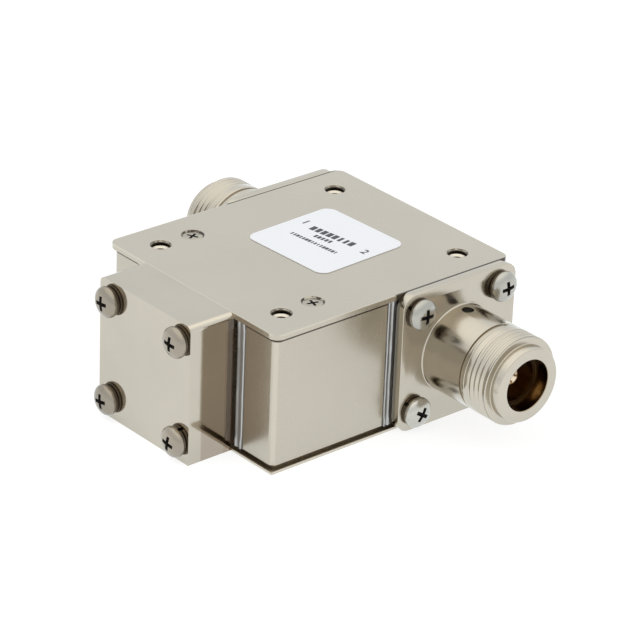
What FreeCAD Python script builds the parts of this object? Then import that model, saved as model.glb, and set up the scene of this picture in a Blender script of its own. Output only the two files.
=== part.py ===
import FreeCAD, Part
import os
import re

import Sketcher

os.makedirs("parts", exist_ok=True)

# A two port ferrite isolator with N type jacks, in millimetres.
# The origin is the middle of the underside, +Z is up, +X points out of jack 2 and -Y out of the load block.

doc = FreeCAD.newDocument("rf_isolator")
sheet = doc.addObject("Spreadsheet::Sheet", "Sizes")
names = []
nodes = {}


def size(name, value):
    """One driving dimension, kept in the sheet under its own name."""
    names.append(name)
    row = len(names)
    sheet.set(f"A{row}", name)
    sheet.set(f"B{row}", str(value))
    sheet.setAlias(f"B{row}", name)


def bound(formula):
    """The formula with every size pointed at its cell in the sheet."""
    return re.sub(r"[a-z_]+[a-z0-9_]*", lambda word: point_at_sheet(word.group()), formula)


def point_at_sheet(word):
    return f"Sizes.{word}" if word in names else word


def number(formula):
    return float(sheet.evalExpression(bound(formula)))


def bind(thing, field, formula):
    thing.setExpression(field, bound(formula))


# Case
size("case_length_x", 44.7)
size("case_length_y", 51.6)
size("case_height", 25.4)
size("top_plate_thick", 0.95)
size("base_plate_thick", 0.5)
size("plate_corner_radius", 1.8)
size("shield_inset", 0.7)
size("shield_thick", 0.9)
size("shield_bend_radius", 1.2)
size("shield_lift", 0.5)
size("seam_length", 1.9)
size("seam_gap", 0.6)
size("seam_bulge", 0.3)

# Mounting holes and flush screws
size("mount_spacing_x", 32.04)
size("mount_spacing_y", 38.8)
size("mount_hole_radius", 1.6)
size("mount_hole_bevel", 0.3)
size("mount_tap_radius", 1.25)
size("flush_spacing_x", 31.8)
size("flush_from_middle_y", 12.6)
size("flush_head_radius", 2.0)
size("flush_shank_radius", 1.1)
size("flush_screw_length", 6.0)
size("flush_recess_span", 2.3)
size("flush_recess_depth", 0.6)

# Jacks
size("flange_side", 25.4)
size("flange_thick", 1.8)
size("flange_corner_radius", 2.5)
size("flange_from_back", 0.2)
size("jack_boss_half", 11.5)
size("jack_length", 19.15)
size("barrel_radius", 7.9)
size("thread_radius", 7.94)
size("thread_start", 10.95)
size("thread_length", 6.2)
size("relief_length", 0.6)
size("relief_depth", 0.3)
size("pilot_radius", 6.65)
size("pilot_bevel", 0.25)
size("mouth_radius", 4.6)
size("mouth_depth", 3.0)
size("mouth_taper", 0.6)
size("bore_radius", 4.1)
size("bead_length", 10.1)
size("contact_recess", 4.5)
size("contact_radius", 1.5)
size("contact_waist_radius", 1.0)
size("contact_waist_setback", 2.0)
size("socket_radius", 0.84)
size("socket_depth", 6.0)
size("socket_slot", 0.3)
size("socket_slot_depth", 4.5)
size("tail_length", 4.5)
size("tail_slot_depth", 2.2)
size("fill_hole_from_flange", 3.85)
size("fill_hole_radius", 1.05)
size("fill_hole_depth", 0.7)

# Pan head screws and lock washers
size("screw_pitch", 18.3)
size("screw_head_radius", 2.6)
size("screw_head_height", 1.6)
size("screw_head_round", 0.8)
size("screw_shank_radius", 1.42)
size("screw_bite", 4.2)
size("screw_clearance", 0.2)
size("thread_clearance", 0.03)
size("cross_span", 3.1)
size("cross_width", 0.75)
size("cross_depth", 1.1)
size("cross_turn", 22)
size("washer_radius", 2.45)
size("washer_hole_radius", 1.55)
size("washer_thick", 0.6)
size("washer_split", 0.5)

# Load
size("load_block_width", 24.2)
size("load_block_depth", 9.0)
size("load_offset_x", -0.4)
size("load_boss_half", 11.8)
size("load_edge_round", 1.1)
size("load_tunnel_radius", 6.2)
size("load_step_length", 7.0)
size("load_step_width", 8.0)
size("load_step_height", 6.0)
size("chip_side", 6.35)
size("chip_thick", 1.0)
size("chip_cover_length", 3.2)
size("chip_cover_thick", 0.5)
size("chip_setback", 0.4)

# Ferrite junction
size("junction_y", 4.85)
size("cavity_radius", 13.5)
size("ferrite_radius", 12.0)
size("ferrite_thick", 4.0)
size("ring_clearance", 0.1)
size("ground_disc_thick", 1.0)
size("pole_radius", 12.5)
size("pole_thick", 2.0)
size("strip_thick", 0.6)
size("strip_disc_radius", 6.5)
size("strip_width", 3.0)
size("strip_tip_width", 1.2)
size("strip_arm_angle", 30)
size("solder_clearance", 0.02)

# Label
size("label_side", 19.4)
size("label_thick", 0.12)
size("label_round", 2.0)
size("label_middle_x", -0.8)
size("label_middle_y", 4.3)
size("label_turn", 2.4)

doc.recompute()

# Places worked out from the sizes
HALF_X = "case_length_x / 2"
HALF_Y = "case_length_y / 2"
AXIS_Z = "case_height / 2"
COVER_Z = "(case_height - top_plate_thick)"
WALL_X = f"({HALF_X} - shield_inset)"
WALL_Y = f"({HALF_Y} - shield_inset)"
CORE_X = f"({WALL_X} - shield_thick)"
CORE_Y = f"({WALL_Y} - shield_thick)"
SHIELD_Z = "(base_plate_thick + shield_lift)"
JACK_Y = f"({HALF_Y} - flange_from_back - flange_side / 2)"
JACK_BOSS_FRONT = f"({JACK_Y} - jack_boss_half)"
JACK_BOSS_BACK = f"({JACK_Y} + jack_boss_half)"
LOAD_BOSS_RIGHT = "(load_offset_x + load_boss_half)"
LOAD_BOSS_LEFT = "(load_offset_x - load_boss_half)"
MAGNET_THICK = (
    f"({COVER_Z} - {AXIS_Z} - strip_thick / 2 - ferrite_thick - ground_disc_thick - pole_thick)"
)
FLUSH_CONE = "(flush_head_radius - flush_shank_radius)"
MOUNT_CONE = "(mount_hole_radius - mount_tap_radius)"
CHIP_FRONT = f"(-{HALF_Y} + load_step_length - chip_setback - chip_side)"
PORT_TURN = {"+X": 0, "-Y": -90, "-X": 180}
UPRIGHT = FreeCAD.Vector(0, 0, 1)
SAME_PLACE = 0.01


def node(thing, label):
    """Marks an object as a piece of its own, written out under its label."""
    thing.Label = label
    nodes[label] = thing
    return thing


def place(thing, x, y, z):
    bind(thing, "Placement.Base.x", x)
    bind(thing, "Placement.Base.y", y)
    bind(thing, "Placement.Base.z", z)


def block(name, low, high):
    """A box between two corners, each given as three formulas."""
    box = doc.addObject("Part::Box", name)
    place(box, *low)
    for field, start, end in zip(("Length", "Width", "Height"), low, high):
        bind(box, field, f"({end}) - ({start})")
    return box


def rod(name, start, length, radius, axis="Z"):
    """A cylinder that runs from its start point along one axis."""
    cylinder = doc.addObject("Part::Cylinder", name)
    turn = {
        "Z": FreeCAD.Rotation(),
        "X": FreeCAD.Rotation(FreeCAD.Vector(0, 1, 0), 90),
        "Y": FreeCAD.Rotation(FreeCAD.Vector(1, 0, 0), -90),
    }[axis]
    cylinder.Placement = FreeCAD.Placement(FreeCAD.Vector(), turn)
    place(cylinder, *start)
    bind(cylinder, "Height", length)
    bind(cylinder, "Radius", radius)
    return cylinder


def cone(name, start, length, low_radius, high_radius):
    """An upright cone or countersink."""
    taper = doc.addObject("Part::Cone", name)
    place(taper, *start)
    bind(taper, "Height", length)
    bind(taper, "Radius1", low_radius)
    bind(taper, "Radius2", high_radius)
    return taper


def fuse(name, pieces):
    whole = doc.addObject("Part::MultiFuse", name)
    whole.Shapes = pieces
    whole.Refine = True
    return whole


def cut(name, base, tools):
    rest = doc.addObject("Part::Cut", name)
    rest.Base = base
    rest.Tool = tools[0] if len(tools) == 1 else fuse(f"{name}_tools", tools)
    return rest


def group(label, pieces):
    """Separate like solids that share one node."""
    together = doc.addObject("Part::Compound", label)
    together.Links = pieces
    return node(together, label)


def new_body(name):
    return doc.addObject("PartDesign::Body", name)


def new_sketch(body, name, plane, lift="0"):
    """A sketch on one of the body's own origin planes, lifted along that plane's normal."""
    sketch = body.newObject("Sketcher::SketchObject", name)
    support = [feature for feature in body.Origin.OriginFeatures if feature.Role == plane]
    sketch.AttachmentSupport = [(support[0], "")]
    sketch.MapMode = "FlatFace"
    bind(sketch, "AttachmentOffset.Base.z", lift)
    return sketch


def fix_point(sketch, line, end, point):
    """Holds one end of an edge at a point whose two coordinates follow the sheet."""
    for kind, formula in zip(("DistanceX", "DistanceY"), point):
        index = sketch.addConstraint(Sketcher.Constraint(kind, -1, 1, line, end, number(formula)))
        bind(sketch, f"Constraints[{index}]", formula)


def draw_outline(sketch, corners):
    """A closed outline of straight edges through the corners."""
    points = [FreeCAD.Vector(number(x), number(y), 0) for x, y in corners]
    first = sketch.GeometryCount
    for index, point in enumerate(points):
        sketch.addGeometry(Part.LineSegment(point, points[(index + 1) % len(points)]))
    for index, corner in enumerate(corners):
        following = first + (index + 1) % len(points)
        sketch.addConstraint(Sketcher.Constraint("Coincident", first + index, 2, following, 1))
        fix_point(sketch, first + index, 1, corner)


def draw_circle(sketch, centre, radius):
    middle = FreeCAD.Vector(number(centre[0]), number(centre[1]), 0)
    line = sketch.addGeometry(Part.Circle(middle, FreeCAD.Vector(0, 0, 1), number(radius)))
    index = sketch.addConstraint(Sketcher.Constraint("Radius", line, number(radius)))
    bind(sketch, f"Constraints[{index}]", radius)
    fix_point(sketch, line, 3, centre)


def extrude(body, name, kind, sketch, length, backwards=False):
    """A pad or pocket from a sketch, along its normal or against it."""
    feature = body.newObject(kind, name)
    feature.Profile = sketch
    feature.Reversed = backwards
    bind(feature, "Length", length)
    sketch.Visibility = False
    return feature


def turn(body, name, kind, sketch):
    """A full turn of a sketch about its horizontal axis."""
    feature = body.newObject(kind, name)
    feature.Profile = sketch
    feature.ReferenceAxis = (sketch, ["H_Axis"])
    feature.Angle = 360
    return feature


def round_edges(body, name, kind, base, field, radius, wanted):
    """A fillet or chamfer on the edges of the last feature that the test picks out."""
    doc.recompute()
    picked = [f"Edge{index + 1}" for index, edge in enumerate(base.Shape.Edges) if wanted(edge)]
    feature = body.newObject(kind, name)
    feature.Base = (base, picked)
    bind(feature, field, radius)
    return feature


def runs_along(edge, axis):
    """True for a straight edge parallel to the axis."""
    if edge.Curve.TypeId != "Part::GeomLine":
        return False
    return abs(edge.tangentAt(edge.FirstParameter).dot(axis)) > 1 - SAME_PLACE


def corners_of(middle_x, middle_y, spacing_x, spacing_y):
    """The four corners of a hole pattern, as formulas."""
    signs = ((-1, -1), (1, -1), (1, 1), (-1, 1))
    return [
        (f"({middle_x}) + {along} * ({spacing_x}) / 2", f"({middle_y}) + {across} * ({spacing_y}) / 2")
        for along, across in signs
    ]


MOUNT_HOLES = corners_of("0", "0", "mount_spacing_x", "mount_spacing_y")
FLUSH_HOLES = [
    ("-flush_spacing_x / 2", "-flush_from_middle_y"),
    ("flush_spacing_x / 2", "-flush_from_middle_y"),
]
JACK_SCREWS = corners_of(JACK_Y, AXIS_Z, "screw_pitch", "screw_pitch")
LOAD_SCREWS = corners_of("load_offset_x", AXIS_Z, "screw_pitch", "screw_pitch")


def make_top_plate():
    """Thin cover with rounded corners, bevelled mounting holes and countersinks for its two screws."""
    body = new_body("TopPlate")
    outline = new_sketch(body, "TopOutline", "XY_Plane", COVER_Z)
    draw_outline(outline, corners_of("0", "0", "case_length_x", "case_length_y"))
    plate = extrude(body, "TopPad", "PartDesign::Pad", outline, "top_plate_thick")
    round_edges(
        body, "TopCorners", "PartDesign::Fillet", plate, "Radius", "plate_corner_radius",
        lambda edge: runs_along(edge, UPRIGHT),
    )
    cutters = []
    slack = "flush_shank_radius + thread_clearance"
    for index, (x, y) in enumerate(MOUNT_HOLES):
        cutters.append(rod(f"TopHole{index}", (x, y, "0"), "case_height", "mount_hole_radius"))
        cutters.append(cone(
            f"TopBevel{index}", (x, y, "case_height - mount_hole_bevel"), "mount_hole_bevel",
            "mount_hole_radius", "mount_hole_radius + mount_hole_bevel",
        ))
    for index, (x, y) in enumerate(FLUSH_HOLES):
        cutters.append(rod(f"TopFlush{index}", (x, y, "0"), "case_height", slack))
        cutters.append(cone(
            f"TopSink{index}", (x, y, f"case_height - {FLUSH_CONE}"), FLUSH_CONE,
            slack, "flush_head_radius + thread_clearance",
        ))
    node(cut("TopPlateCut", body, cutters), "top_plate")


def make_base_plate():
    """Thin square plate under the case, with the mounting holes and two countersinks from below."""
    low = (f"-{HALF_X}", f"-{HALF_Y}", "0")
    plate = block("BaseBox", low, (HALF_X, HALF_Y, "base_plate_thick"))
    cutters = []
    for index, (x, y) in enumerate(MOUNT_HOLES):
        cutters.append(rod(f"BaseHole{index}", (x, y, "0"), "case_height", "mount_hole_radius"))
    for index, (x, y) in enumerate(FLUSH_HOLES):
        cutters.append(base_sink(f"BaseSink{index}", x, y))
    node(cut("BasePlateCut", plate, cutters), "base_plate")


def base_sink(name, x, y):
    """The countersink of a base screw, which runs on through the plate into the housing."""
    return cone(
        name, (x, y, "0"), FLUSH_CONE,
        "flush_head_radius + thread_clearance", "flush_shank_radius + thread_clearance",
    )


def make_housing():
    """Central block with three port bosses, the junction cavity, the port tunnels and the tapped holes."""
    core = block("Core", (f"-{CORE_X}", f"-{CORE_Y}", "base_plate_thick"), (CORE_X, CORE_Y, COVER_Z))
    right_boss = block(
        "RightBoss", (CORE_X, JACK_BOSS_FRONT, "base_plate_thick"), (HALF_X, JACK_BOSS_BACK, COVER_Z)
    )
    left_boss = block(
        "LeftBoss", (f"-{HALF_X}", JACK_BOSS_FRONT, "base_plate_thick"),
        (f"-{CORE_X}", JACK_BOSS_BACK, COVER_Z),
    )
    load_boss = block(
        "LoadBoss", (LOAD_BOSS_LEFT, f"-{HALF_Y}", "base_plate_thick"), (LOAD_BOSS_RIGHT, "0", COVER_Z)
    )
    solid = fuse("HousingSolid", [core, right_boss, left_boss, load_boss])
    tools = [
        rod("Cavity", ("0", "junction_y", "0"), "case_height", "cavity_radius"),
        rod("PortTunnel", (f"-{HALF_X}", JACK_Y, AXIS_Z), "case_length_x", "bore_radius", "X"),
        rod("LoadTunnel", ("0", f"-{HALF_Y}", AXIS_Z), f"{HALF_Y}", "load_tunnel_radius", "Y"),
    ]
    for index, (x, y) in enumerate(MOUNT_HOLES):
        tools.append(rod(f"MountTap{index}", (x, y, "0"), "case_height", "mount_tap_radius"))
        tools.append(cone(
            f"MountLeadIn{index}", (x, y, f"{COVER_Z} - {MOUNT_CONE}"), MOUNT_CONE,
            "mount_tap_radius", "mount_hole_radius",
        ))
        tools.append(cone(
            f"MountLeadOut{index}", (x, y, "base_plate_thick"), MOUNT_CONE,
            "mount_hole_radius", "mount_tap_radius",
        ))
    for index, (x, y) in enumerate(FLUSH_HOLES):
        tapped = "flush_shank_radius + thread_clearance"
        tap_start = (x, y, "case_height - flush_screw_length")
        tools.append(rod(f"CoverTap{index}", tap_start, "flush_screw_length", tapped))
        tools.append(rod(f"BaseTap{index}", (x, y, "0"), "flush_screw_length", tapped))
        tools.append(base_sink(f"HousingSink{index}", x, y))
    tapped = "screw_shank_radius + thread_clearance"
    for index, (y, z) in enumerate(JACK_SCREWS):
        right = (f"{HALF_X} - screw_bite", y, z)
        left = (f"-{HALF_X}", y, z)
        tools.append(rod(f"RightTap{index}", right, "screw_bite", tapped, "X"))
        tools.append(rod(f"LeftTap{index}", left, "screw_bite", tapped, "X"))
    for index, (x, z) in enumerate(LOAD_SCREWS):
        tools.append(rod(f"LoadTap{index}", (x, f"-{HALF_Y}", z), "screw_bite", tapped, "Y"))
    node(cut("HousingCut", solid, tools), "housing")


def make_corner_shield(label, side, start_x):
    """One sheet folded round a front corner, from the load boss to the jack boss."""
    sign = "" if side > 0 else "-"
    body = new_body(f"Shield{label}")
    outline = new_sketch(body, f"Fold{label}", "XY_Plane", SHIELD_Z)
    draw_outline(outline, [
        (start_x, f"-{WALL_Y}"),
        (f"{sign}{WALL_X}", f"-{WALL_Y}"),
        (f"{sign}{WALL_X}", f"{JACK_BOSS_FRONT} - seam_gap - seam_length"),
        (f"{sign}{CORE_X}", f"{JACK_BOSS_FRONT} - seam_gap - seam_length"),
        (f"{sign}{CORE_X}", f"-{CORE_Y}"),
        (start_x, f"-{CORE_Y}"),
    ])
    sheet_metal = extrude(body, f"Sheet{label}", "PartDesign::Pad", outline, f"{COVER_Z} - {SHIELD_Z}")
    fold = FreeCAD.Vector(side * number(WALL_X), -number(WALL_Y), 0)
    round_edges(
        body, f"Bend{label}", "PartDesign::Fillet", sheet_metal, "Radius", "shield_bend_radius",
        lambda edge: runs_along(edge, UPRIGHT) and stands_on(edge, fold),
    )
    node(body, label)


def stands_on(edge, foot):
    """True for an upright edge above the given point of the ground plan."""
    middle = edge.CenterOfMass
    return abs(middle.x - foot.x) + abs(middle.y - foot.y) < SAME_PLACE


def make_rear_shield():
    """Flat sheet across the back of the housing."""
    low = (f"-{CORE_X}", CORE_Y, SHIELD_Z)
    node(block("RearSheet", low, (CORE_X, WALL_Y, COVER_Z)), "rear_shield")


def seam(name, x, y, length_x, length_y):
    """A rounded bar of solder, as tall as the sheet beside it."""
    body = new_body(name)
    outline = new_sketch(body, f"{name}Outline", "XY_Plane", SHIELD_Z)
    draw_outline(outline, [
        (x, y),
        (f"{x} + {length_x}", y),
        (f"{x} + {length_x}", f"{y} + {length_y}"),
        (x, f"{y} + {length_y}"),
    ])
    bar = extrude(body, f"{name}Bar", "PartDesign::Pad", outline, f"{COVER_Z} - {SHIELD_Z}")
    far_x = max(abs(number(x)), abs(number(f"{x} + {length_x}")))
    far_y = max(abs(number(y)), abs(number(f"{y} + {length_y}")))
    on_side = far_x > number(WALL_X)

    def outer(edge):
        middle = edge.CenterOfMass
        reach = abs(abs(middle.x) - far_x) if on_side else abs(abs(middle.y) - far_y)
        return runs_along(edge, UPRIGHT) and reach < SAME_PLACE

    round_edges(body, f"{name}Round", "PartDesign::Fillet", bar, "Radius", "seam_bulge", outer)
    return body


def make_solder_seams():
    """Tinned seams where the sheets end at the port bosses."""
    side_depth = "(shield_thick + seam_bulge)"
    side_y = f"{JACK_BOSS_FRONT} - seam_gap - seam_length"
    front_y = f"-{WALL_Y} - seam_bulge"
    front_left_x = f"{LOAD_BOSS_LEFT} - seam_gap - seam_length"
    rear_length = f"({HALF_X} - {CORE_X} - seam_bulge)"
    rear_y = f"{JACK_BOSS_BACK}"
    rear_depth = f"({WALL_Y} + seam_bulge - {JACK_BOSS_BACK})"
    group("solder_seams", [
        seam("SeamRight", CORE_X, side_y, side_depth, "seam_length"),
        seam("SeamLeft", f"-{CORE_X} - {side_depth}", side_y, side_depth, "seam_length"),
        seam("SeamFrontRight", f"{LOAD_BOSS_RIGHT} + seam_gap", front_y, "seam_length", side_depth),
        seam("SeamFrontLeft", front_left_x, front_y, "seam_length", side_depth),
        seam("SeamRearRight", CORE_X, rear_y, rear_length, rear_depth),
        seam("SeamRearLeft", f"-{CORE_X} - {rear_length}", rear_y, rear_length, rear_depth),
    ])


def put(body, direction, along):
    """Turns a piece made along +X to face outward from a port, on the jack or load axis."""
    turn_back = FreeCAD.Rotation(FreeCAD.Vector(0, 0, 1), PORT_TURN[direction])
    body.Placement = FreeCAD.Placement(FreeCAD.Vector(), turn_back)
    spots = {
        "+X": (f"{HALF_X} + {along}", JACK_Y, AXIS_Z),
        "-X": (f"-{HALF_X} - {along}", JACK_Y, AXIS_Z),
        "-Y": ("load_offset_x", f"-{HALF_Y} - {along}", AXIS_Z),
    }
    place(body, *spots[direction])


def make_jack_shell(port, direction):
    """Flange, barrel, relief groove, thread land and pilot turned as one piece, bored for the bead."""
    body = new_body(f"Jack{port}")
    half = "flange_side / 2"
    flange_outline = new_sketch(body, f"Flange{port}", "YZ_Plane")
    draw_outline(flange_outline, corners_of("0", "0", "flange_side", "flange_side"))
    for x, y in corners_of("0", "0", "screw_pitch", "screw_pitch"):
        draw_circle(flange_outline, (x, y), "screw_shank_radius + screw_clearance")
    flange = extrude(body, f"FlangePad{port}", "PartDesign::Pad", flange_outline, "flange_thick")
    along = FreeCAD.Vector(1, 0, 0)
    reach = number(half)
    round_edges(
        body, f"FlangeCorners{port}", "PartDesign::Fillet", flange, "Radius", "flange_corner_radius",
        lambda edge: runs_along(edge, along) and abs(edge.CenterOfMass.y) > reach - SAME_PLACE,
    )
    profile = new_sketch(body, f"Profile{port}", "XY_Plane")
    draw_outline(profile, [
        ("0", "0"),
        ("jack_length", "0"),
        ("jack_length", "pilot_radius - pilot_bevel"),
        ("jack_length - pilot_bevel", "pilot_radius"),
        ("thread_start + thread_length", "pilot_radius"),
        ("thread_start + thread_length", "thread_radius - pilot_bevel"),
        ("thread_start + thread_length - pilot_bevel", "thread_radius"),
        ("thread_start + relief_length", "thread_radius"),
        ("thread_start + relief_length", "thread_radius - relief_depth"),
        ("thread_start", "thread_radius - relief_depth"),
        ("thread_start", "barrel_radius"),
        ("0", "barrel_radius"),
    ])
    turn(body, f"Barrel{port}", "PartDesign::Revolution", profile)
    bore = new_sketch(body, f"Bore{port}", "XY_Plane")
    draw_outline(bore, [
        ("0", "0"),
        ("jack_length", "0"),
        ("jack_length", "mouth_radius"),
        ("jack_length - mouth_depth", "mouth_radius"),
        ("jack_length - mouth_depth - mouth_taper", "bore_radius"),
        ("0", "bore_radius"),
    ])
    turn(body, f"BoreGroove{port}", "PartDesign::Groove", bore)
    fill = new_sketch(body, f"FillHole{port}", "XY_Plane")
    draw_circle(fill, ("fill_hole_from_flange", "0"), "fill_hole_radius")
    extrude(body, f"FillPocket{port}", "PartDesign::Pocket", fill, "thread_radius", backwards=True)
    put(body, direction, "0")
    node(body, f"port_{port}_jack")


def make_insulator(port, direction):
    """PTFE bead that fills the shell's bore round the contact, with the cross hole for the epoxy."""
    body = new_body(f"Bead{port}")
    profile = new_sketch(body, f"BeadProfile{port}", "XY_Plane")
    draw_outline(profile, [
        ("0", "contact_waist_radius"),
        ("bead_length - contact_waist_setback", "contact_waist_radius"),
        ("bead_length - contact_waist_setback", "contact_radius"),
        ("bead_length", "contact_radius"),
        ("bead_length", "bore_radius"),
        ("0", "bore_radius"),
    ])
    turn(body, f"BeadTurn{port}", "PartDesign::Revolution", profile)
    fill = new_sketch(body, f"BeadHole{port}", "XY_Plane")
    draw_circle(fill, ("fill_hole_from_flange", "0"), "fill_hole_radius")
    extrude(body, f"BeadPocket{port}", "PartDesign::Pocket", fill, "barrel_radius", backwards=True)
    put(body, direction, "0")
    node(body, f"port_{port}_insulator")


def make_epoxy_plug(port, direction):
    """Black epoxy in the fill hole, from the contact up to just under the barrel's surface."""
    body = new_body(f"Epoxy{port}")
    outline = new_sketch(body, f"EpoxyOutline{port}", "XY_Plane")
    draw_circle(outline, ("fill_hole_from_flange", "0"), "fill_hole_radius")
    extrude(body, f"EpoxyPad{port}", "PartDesign::Pad", outline, "barrel_radius - fill_hole_depth")
    around = new_sketch(body, f"EpoxyWaist{port}", "YZ_Plane")
    draw_circle(around, ("0", "0"), "contact_waist_radius")
    extrude(
        body, f"EpoxySeat{port}", "PartDesign::Pocket", around,
        "fill_hole_from_flange + 2 * fill_hole_radius", backwards=True,
    )
    put(body, direction, "0")
    node(body, f"port_{port}_epoxy_plug")


def make_contact(port, direction):
    """Gold plated contact: slotted socket in front, waist through the bead, slotted tail on the strip."""
    tip = "jack_length - contact_recess"
    body = new_body(f"Contact{port}")
    profile = new_sketch(body, f"ContactProfile{port}", "XY_Plane")
    draw_outline(profile, [
        ("-tail_length", "0"),
        (f"{tip} - socket_depth", "0"),
        (f"{tip} - socket_depth", "socket_radius"),
        (tip, "socket_radius"),
        (tip, "contact_radius - pilot_bevel"),
        (f"{tip} - pilot_bevel", "contact_radius"),
        ("bead_length - contact_waist_setback", "contact_radius"),
        ("bead_length - contact_waist_setback", "contact_waist_radius"),
        ("-tail_length", "contact_waist_radius"),
    ])
    turn(body, f"ContactTurn{port}", "PartDesign::Revolution", profile)
    half_slot = "socket_slot / 2"
    for plane in ("XY_Plane", "XZ_Plane"):
        slot = new_sketch(body, f"Slot{plane[:2]}{port}", plane)
        draw_outline(slot, [
            (f"{tip} - socket_slot_depth", f"-{half_slot}"),
            (tip, f"-{half_slot}"),
            (tip, half_slot),
            (f"{tip} - socket_slot_depth", half_slot),
        ])
        cut_through = extrude(
            body, f"SlotCut{plane[:2]}{port}", "PartDesign::Pocket", slot, "3 * contact_radius"
        )
        cut_through.Midplane = True
    saw_half = "strip_thick / 2 + solder_clearance"
    tail_slot = new_sketch(body, f"TailSlot{port}", "XZ_Plane")
    draw_outline(tail_slot, [
        ("-tail_length", f"-({saw_half})"),
        ("tail_slot_depth - tail_length", f"-({saw_half})"),
        ("tail_slot_depth - tail_length", saw_half),
        ("-tail_length", saw_half),
    ])
    saw_cut = extrude(body, f"TailCut{port}", "PartDesign::Pocket", tail_slot, "3 * contact_radius")
    saw_cut.Midplane = True
    put(body, direction, "0")
    node(body, f"port_{port}_contact")


def make_pan_screw(name, grip):
    """Cross recess pan head screw along X: the underside of the head is at zero and the shank points back."""
    body = new_body(name)
    profile = new_sketch(body, f"{name}Profile", "XY_Plane")
    length = f"({grip} + screw_bite - thread_clearance)"
    draw_outline(profile, [
        (f"-{length}", "0"),
        ("screw_head_height", "0"),
        ("screw_head_height", "screw_head_radius"),
        ("0", "screw_head_radius"),
        ("0", "screw_shank_radius"),
        (f"-{length}", "screw_shank_radius"),
    ])
    turned = turn(body, f"{name}Turn", "PartDesign::Revolution", profile)
    top = number("screw_head_height")
    round_edges(
        body, f"{name}Round", "PartDesign::Fillet", turned, "Radius", "screw_head_round",
        lambda edge: edge.Curve.TypeId == "Part::GeomCircle" and edge.CenterOfMass.x > top - SAME_PLACE,
    )
    cross = new_sketch(body, f"{name}Cross", "YZ_Plane", "screw_head_height")
    draw_cross(cross, "cross_span / 2", "cross_width / 2")
    extrude(body, f"{name}Recess", "PartDesign::Pocket", cross, "cross_depth")
    return body


def draw_cross(sketch, reach, half):
    """The outline of a cross recess."""
    draw_outline(sketch, [
        (reach, f"-{half}"), (reach, half), (half, half), (half, reach),
        (f"-{half}", reach), (f"-{half}", half), (f"-{reach}", half), (f"-{reach}", f"-{half}"),
        (f"-{half}", f"-{half}"), (f"-{half}", f"-{reach}"), (half, f"-{reach}"), (half, f"-{half}"),
    ])


def make_lock_washer():
    """Split lock washer along X, from zero outward."""
    body = new_body("LockWasher")
    profile = new_sketch(body, "WasherProfile", "XY_Plane")
    draw_outline(profile, [
        ("0", "washer_hole_radius"),
        ("washer_thick", "washer_hole_radius"),
        ("washer_thick", "washer_radius"),
        ("0", "washer_radius"),
    ])
    turn(body, "WasherTurn", "PartDesign::Revolution", profile)
    split = new_sketch(body, "WasherSplit", "YZ_Plane")
    draw_outline(split, [
        ("-washer_split / 2", "0"),
        ("washer_split / 2", "0"),
        ("washer_split / 2", "2 * washer_radius"),
        ("-washer_split / 2", "2 * washer_radius"),
    ])
    extrude(body, "WasherGap", "PartDesign::Pocket", split, "washer_thick", backwards=True)
    return body


def copies(name, source, direction, along):
    """Four linked copies of a screw or washer on the pattern of one port, each turned a little more."""
    made = []
    for index, (across, up) in enumerate(corners_of("0", "0", "screw_pitch", "screw_pitch")):
        link = doc.addObject("App::Link", f"{name}{index}")
        link.LinkedObject = source
        face_out = FreeCAD.Rotation(FreeCAD.Vector(0, 0, 1), PORT_TURN[direction])
        own_turn = FreeCAD.Rotation(FreeCAD.Vector(1, 0, 0), number("cross_turn") * (index + 1))
        link.Placement = FreeCAD.Placement(FreeCAD.Vector(), face_out.multiply(own_turn))
        spots = {
            "+X": (f"{HALF_X} + {along}", f"{JACK_Y} + {across}", f"{AXIS_Z} + {up}"),
            "-X": (f"-{HALF_X} - {along}", f"{JACK_Y} + {across}", f"{AXIS_Z} + {up}"),
            "-Y": (f"load_offset_x + {across}", f"-{HALF_Y} - {along}", f"{AXIS_Z} + {up}"),
        }
        place(link, *spots[direction])
        made.append(link)
    return made


def make_flush_screws():
    """Countersunk screws, two in the top plate and the same two from below."""
    body = new_body("FlushScrew")
    profile = new_sketch(body, "FlushProfile", "XZ_Plane")
    length = "(flush_screw_length - thread_clearance)"
    draw_outline(profile, [
        ("0", "0"),
        ("flush_head_radius", "0"),
        ("flush_shank_radius", f"-{FLUSH_CONE}"),
        ("flush_shank_radius", f"-{length}"),
        ("0", f"-{length}"),
    ])
    feature = body.newObject("PartDesign::Revolution", "FlushTurn")
    feature.Profile = profile
    feature.ReferenceAxis = (profile, ["V_Axis"])
    feature.Angle = 360
    cross = new_sketch(body, "FlushCross", "XY_Plane")
    draw_cross(cross, "flush_recess_span / 2", "flush_recess_depth / 2")
    extrude(body, "FlushRecess", "PartDesign::Pocket", cross, "flush_recess_depth")
    for label, height, flip in (("cover_screws", "case_height", 0), ("base_screws", "0", 180)):
        made = []
        for index, (x, y) in enumerate(FLUSH_HOLES):
            link = doc.addObject("App::Link", f"{label}{index}")
            link.LinkedObject = body
            upside = FreeCAD.Rotation(FreeCAD.Vector(1, 0, 0), flip)
            link.Placement = FreeCAD.Placement(FreeCAD.Vector(), upside)
            place(link, x, y, height)
            made.append(link)
        group(label, made)


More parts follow.
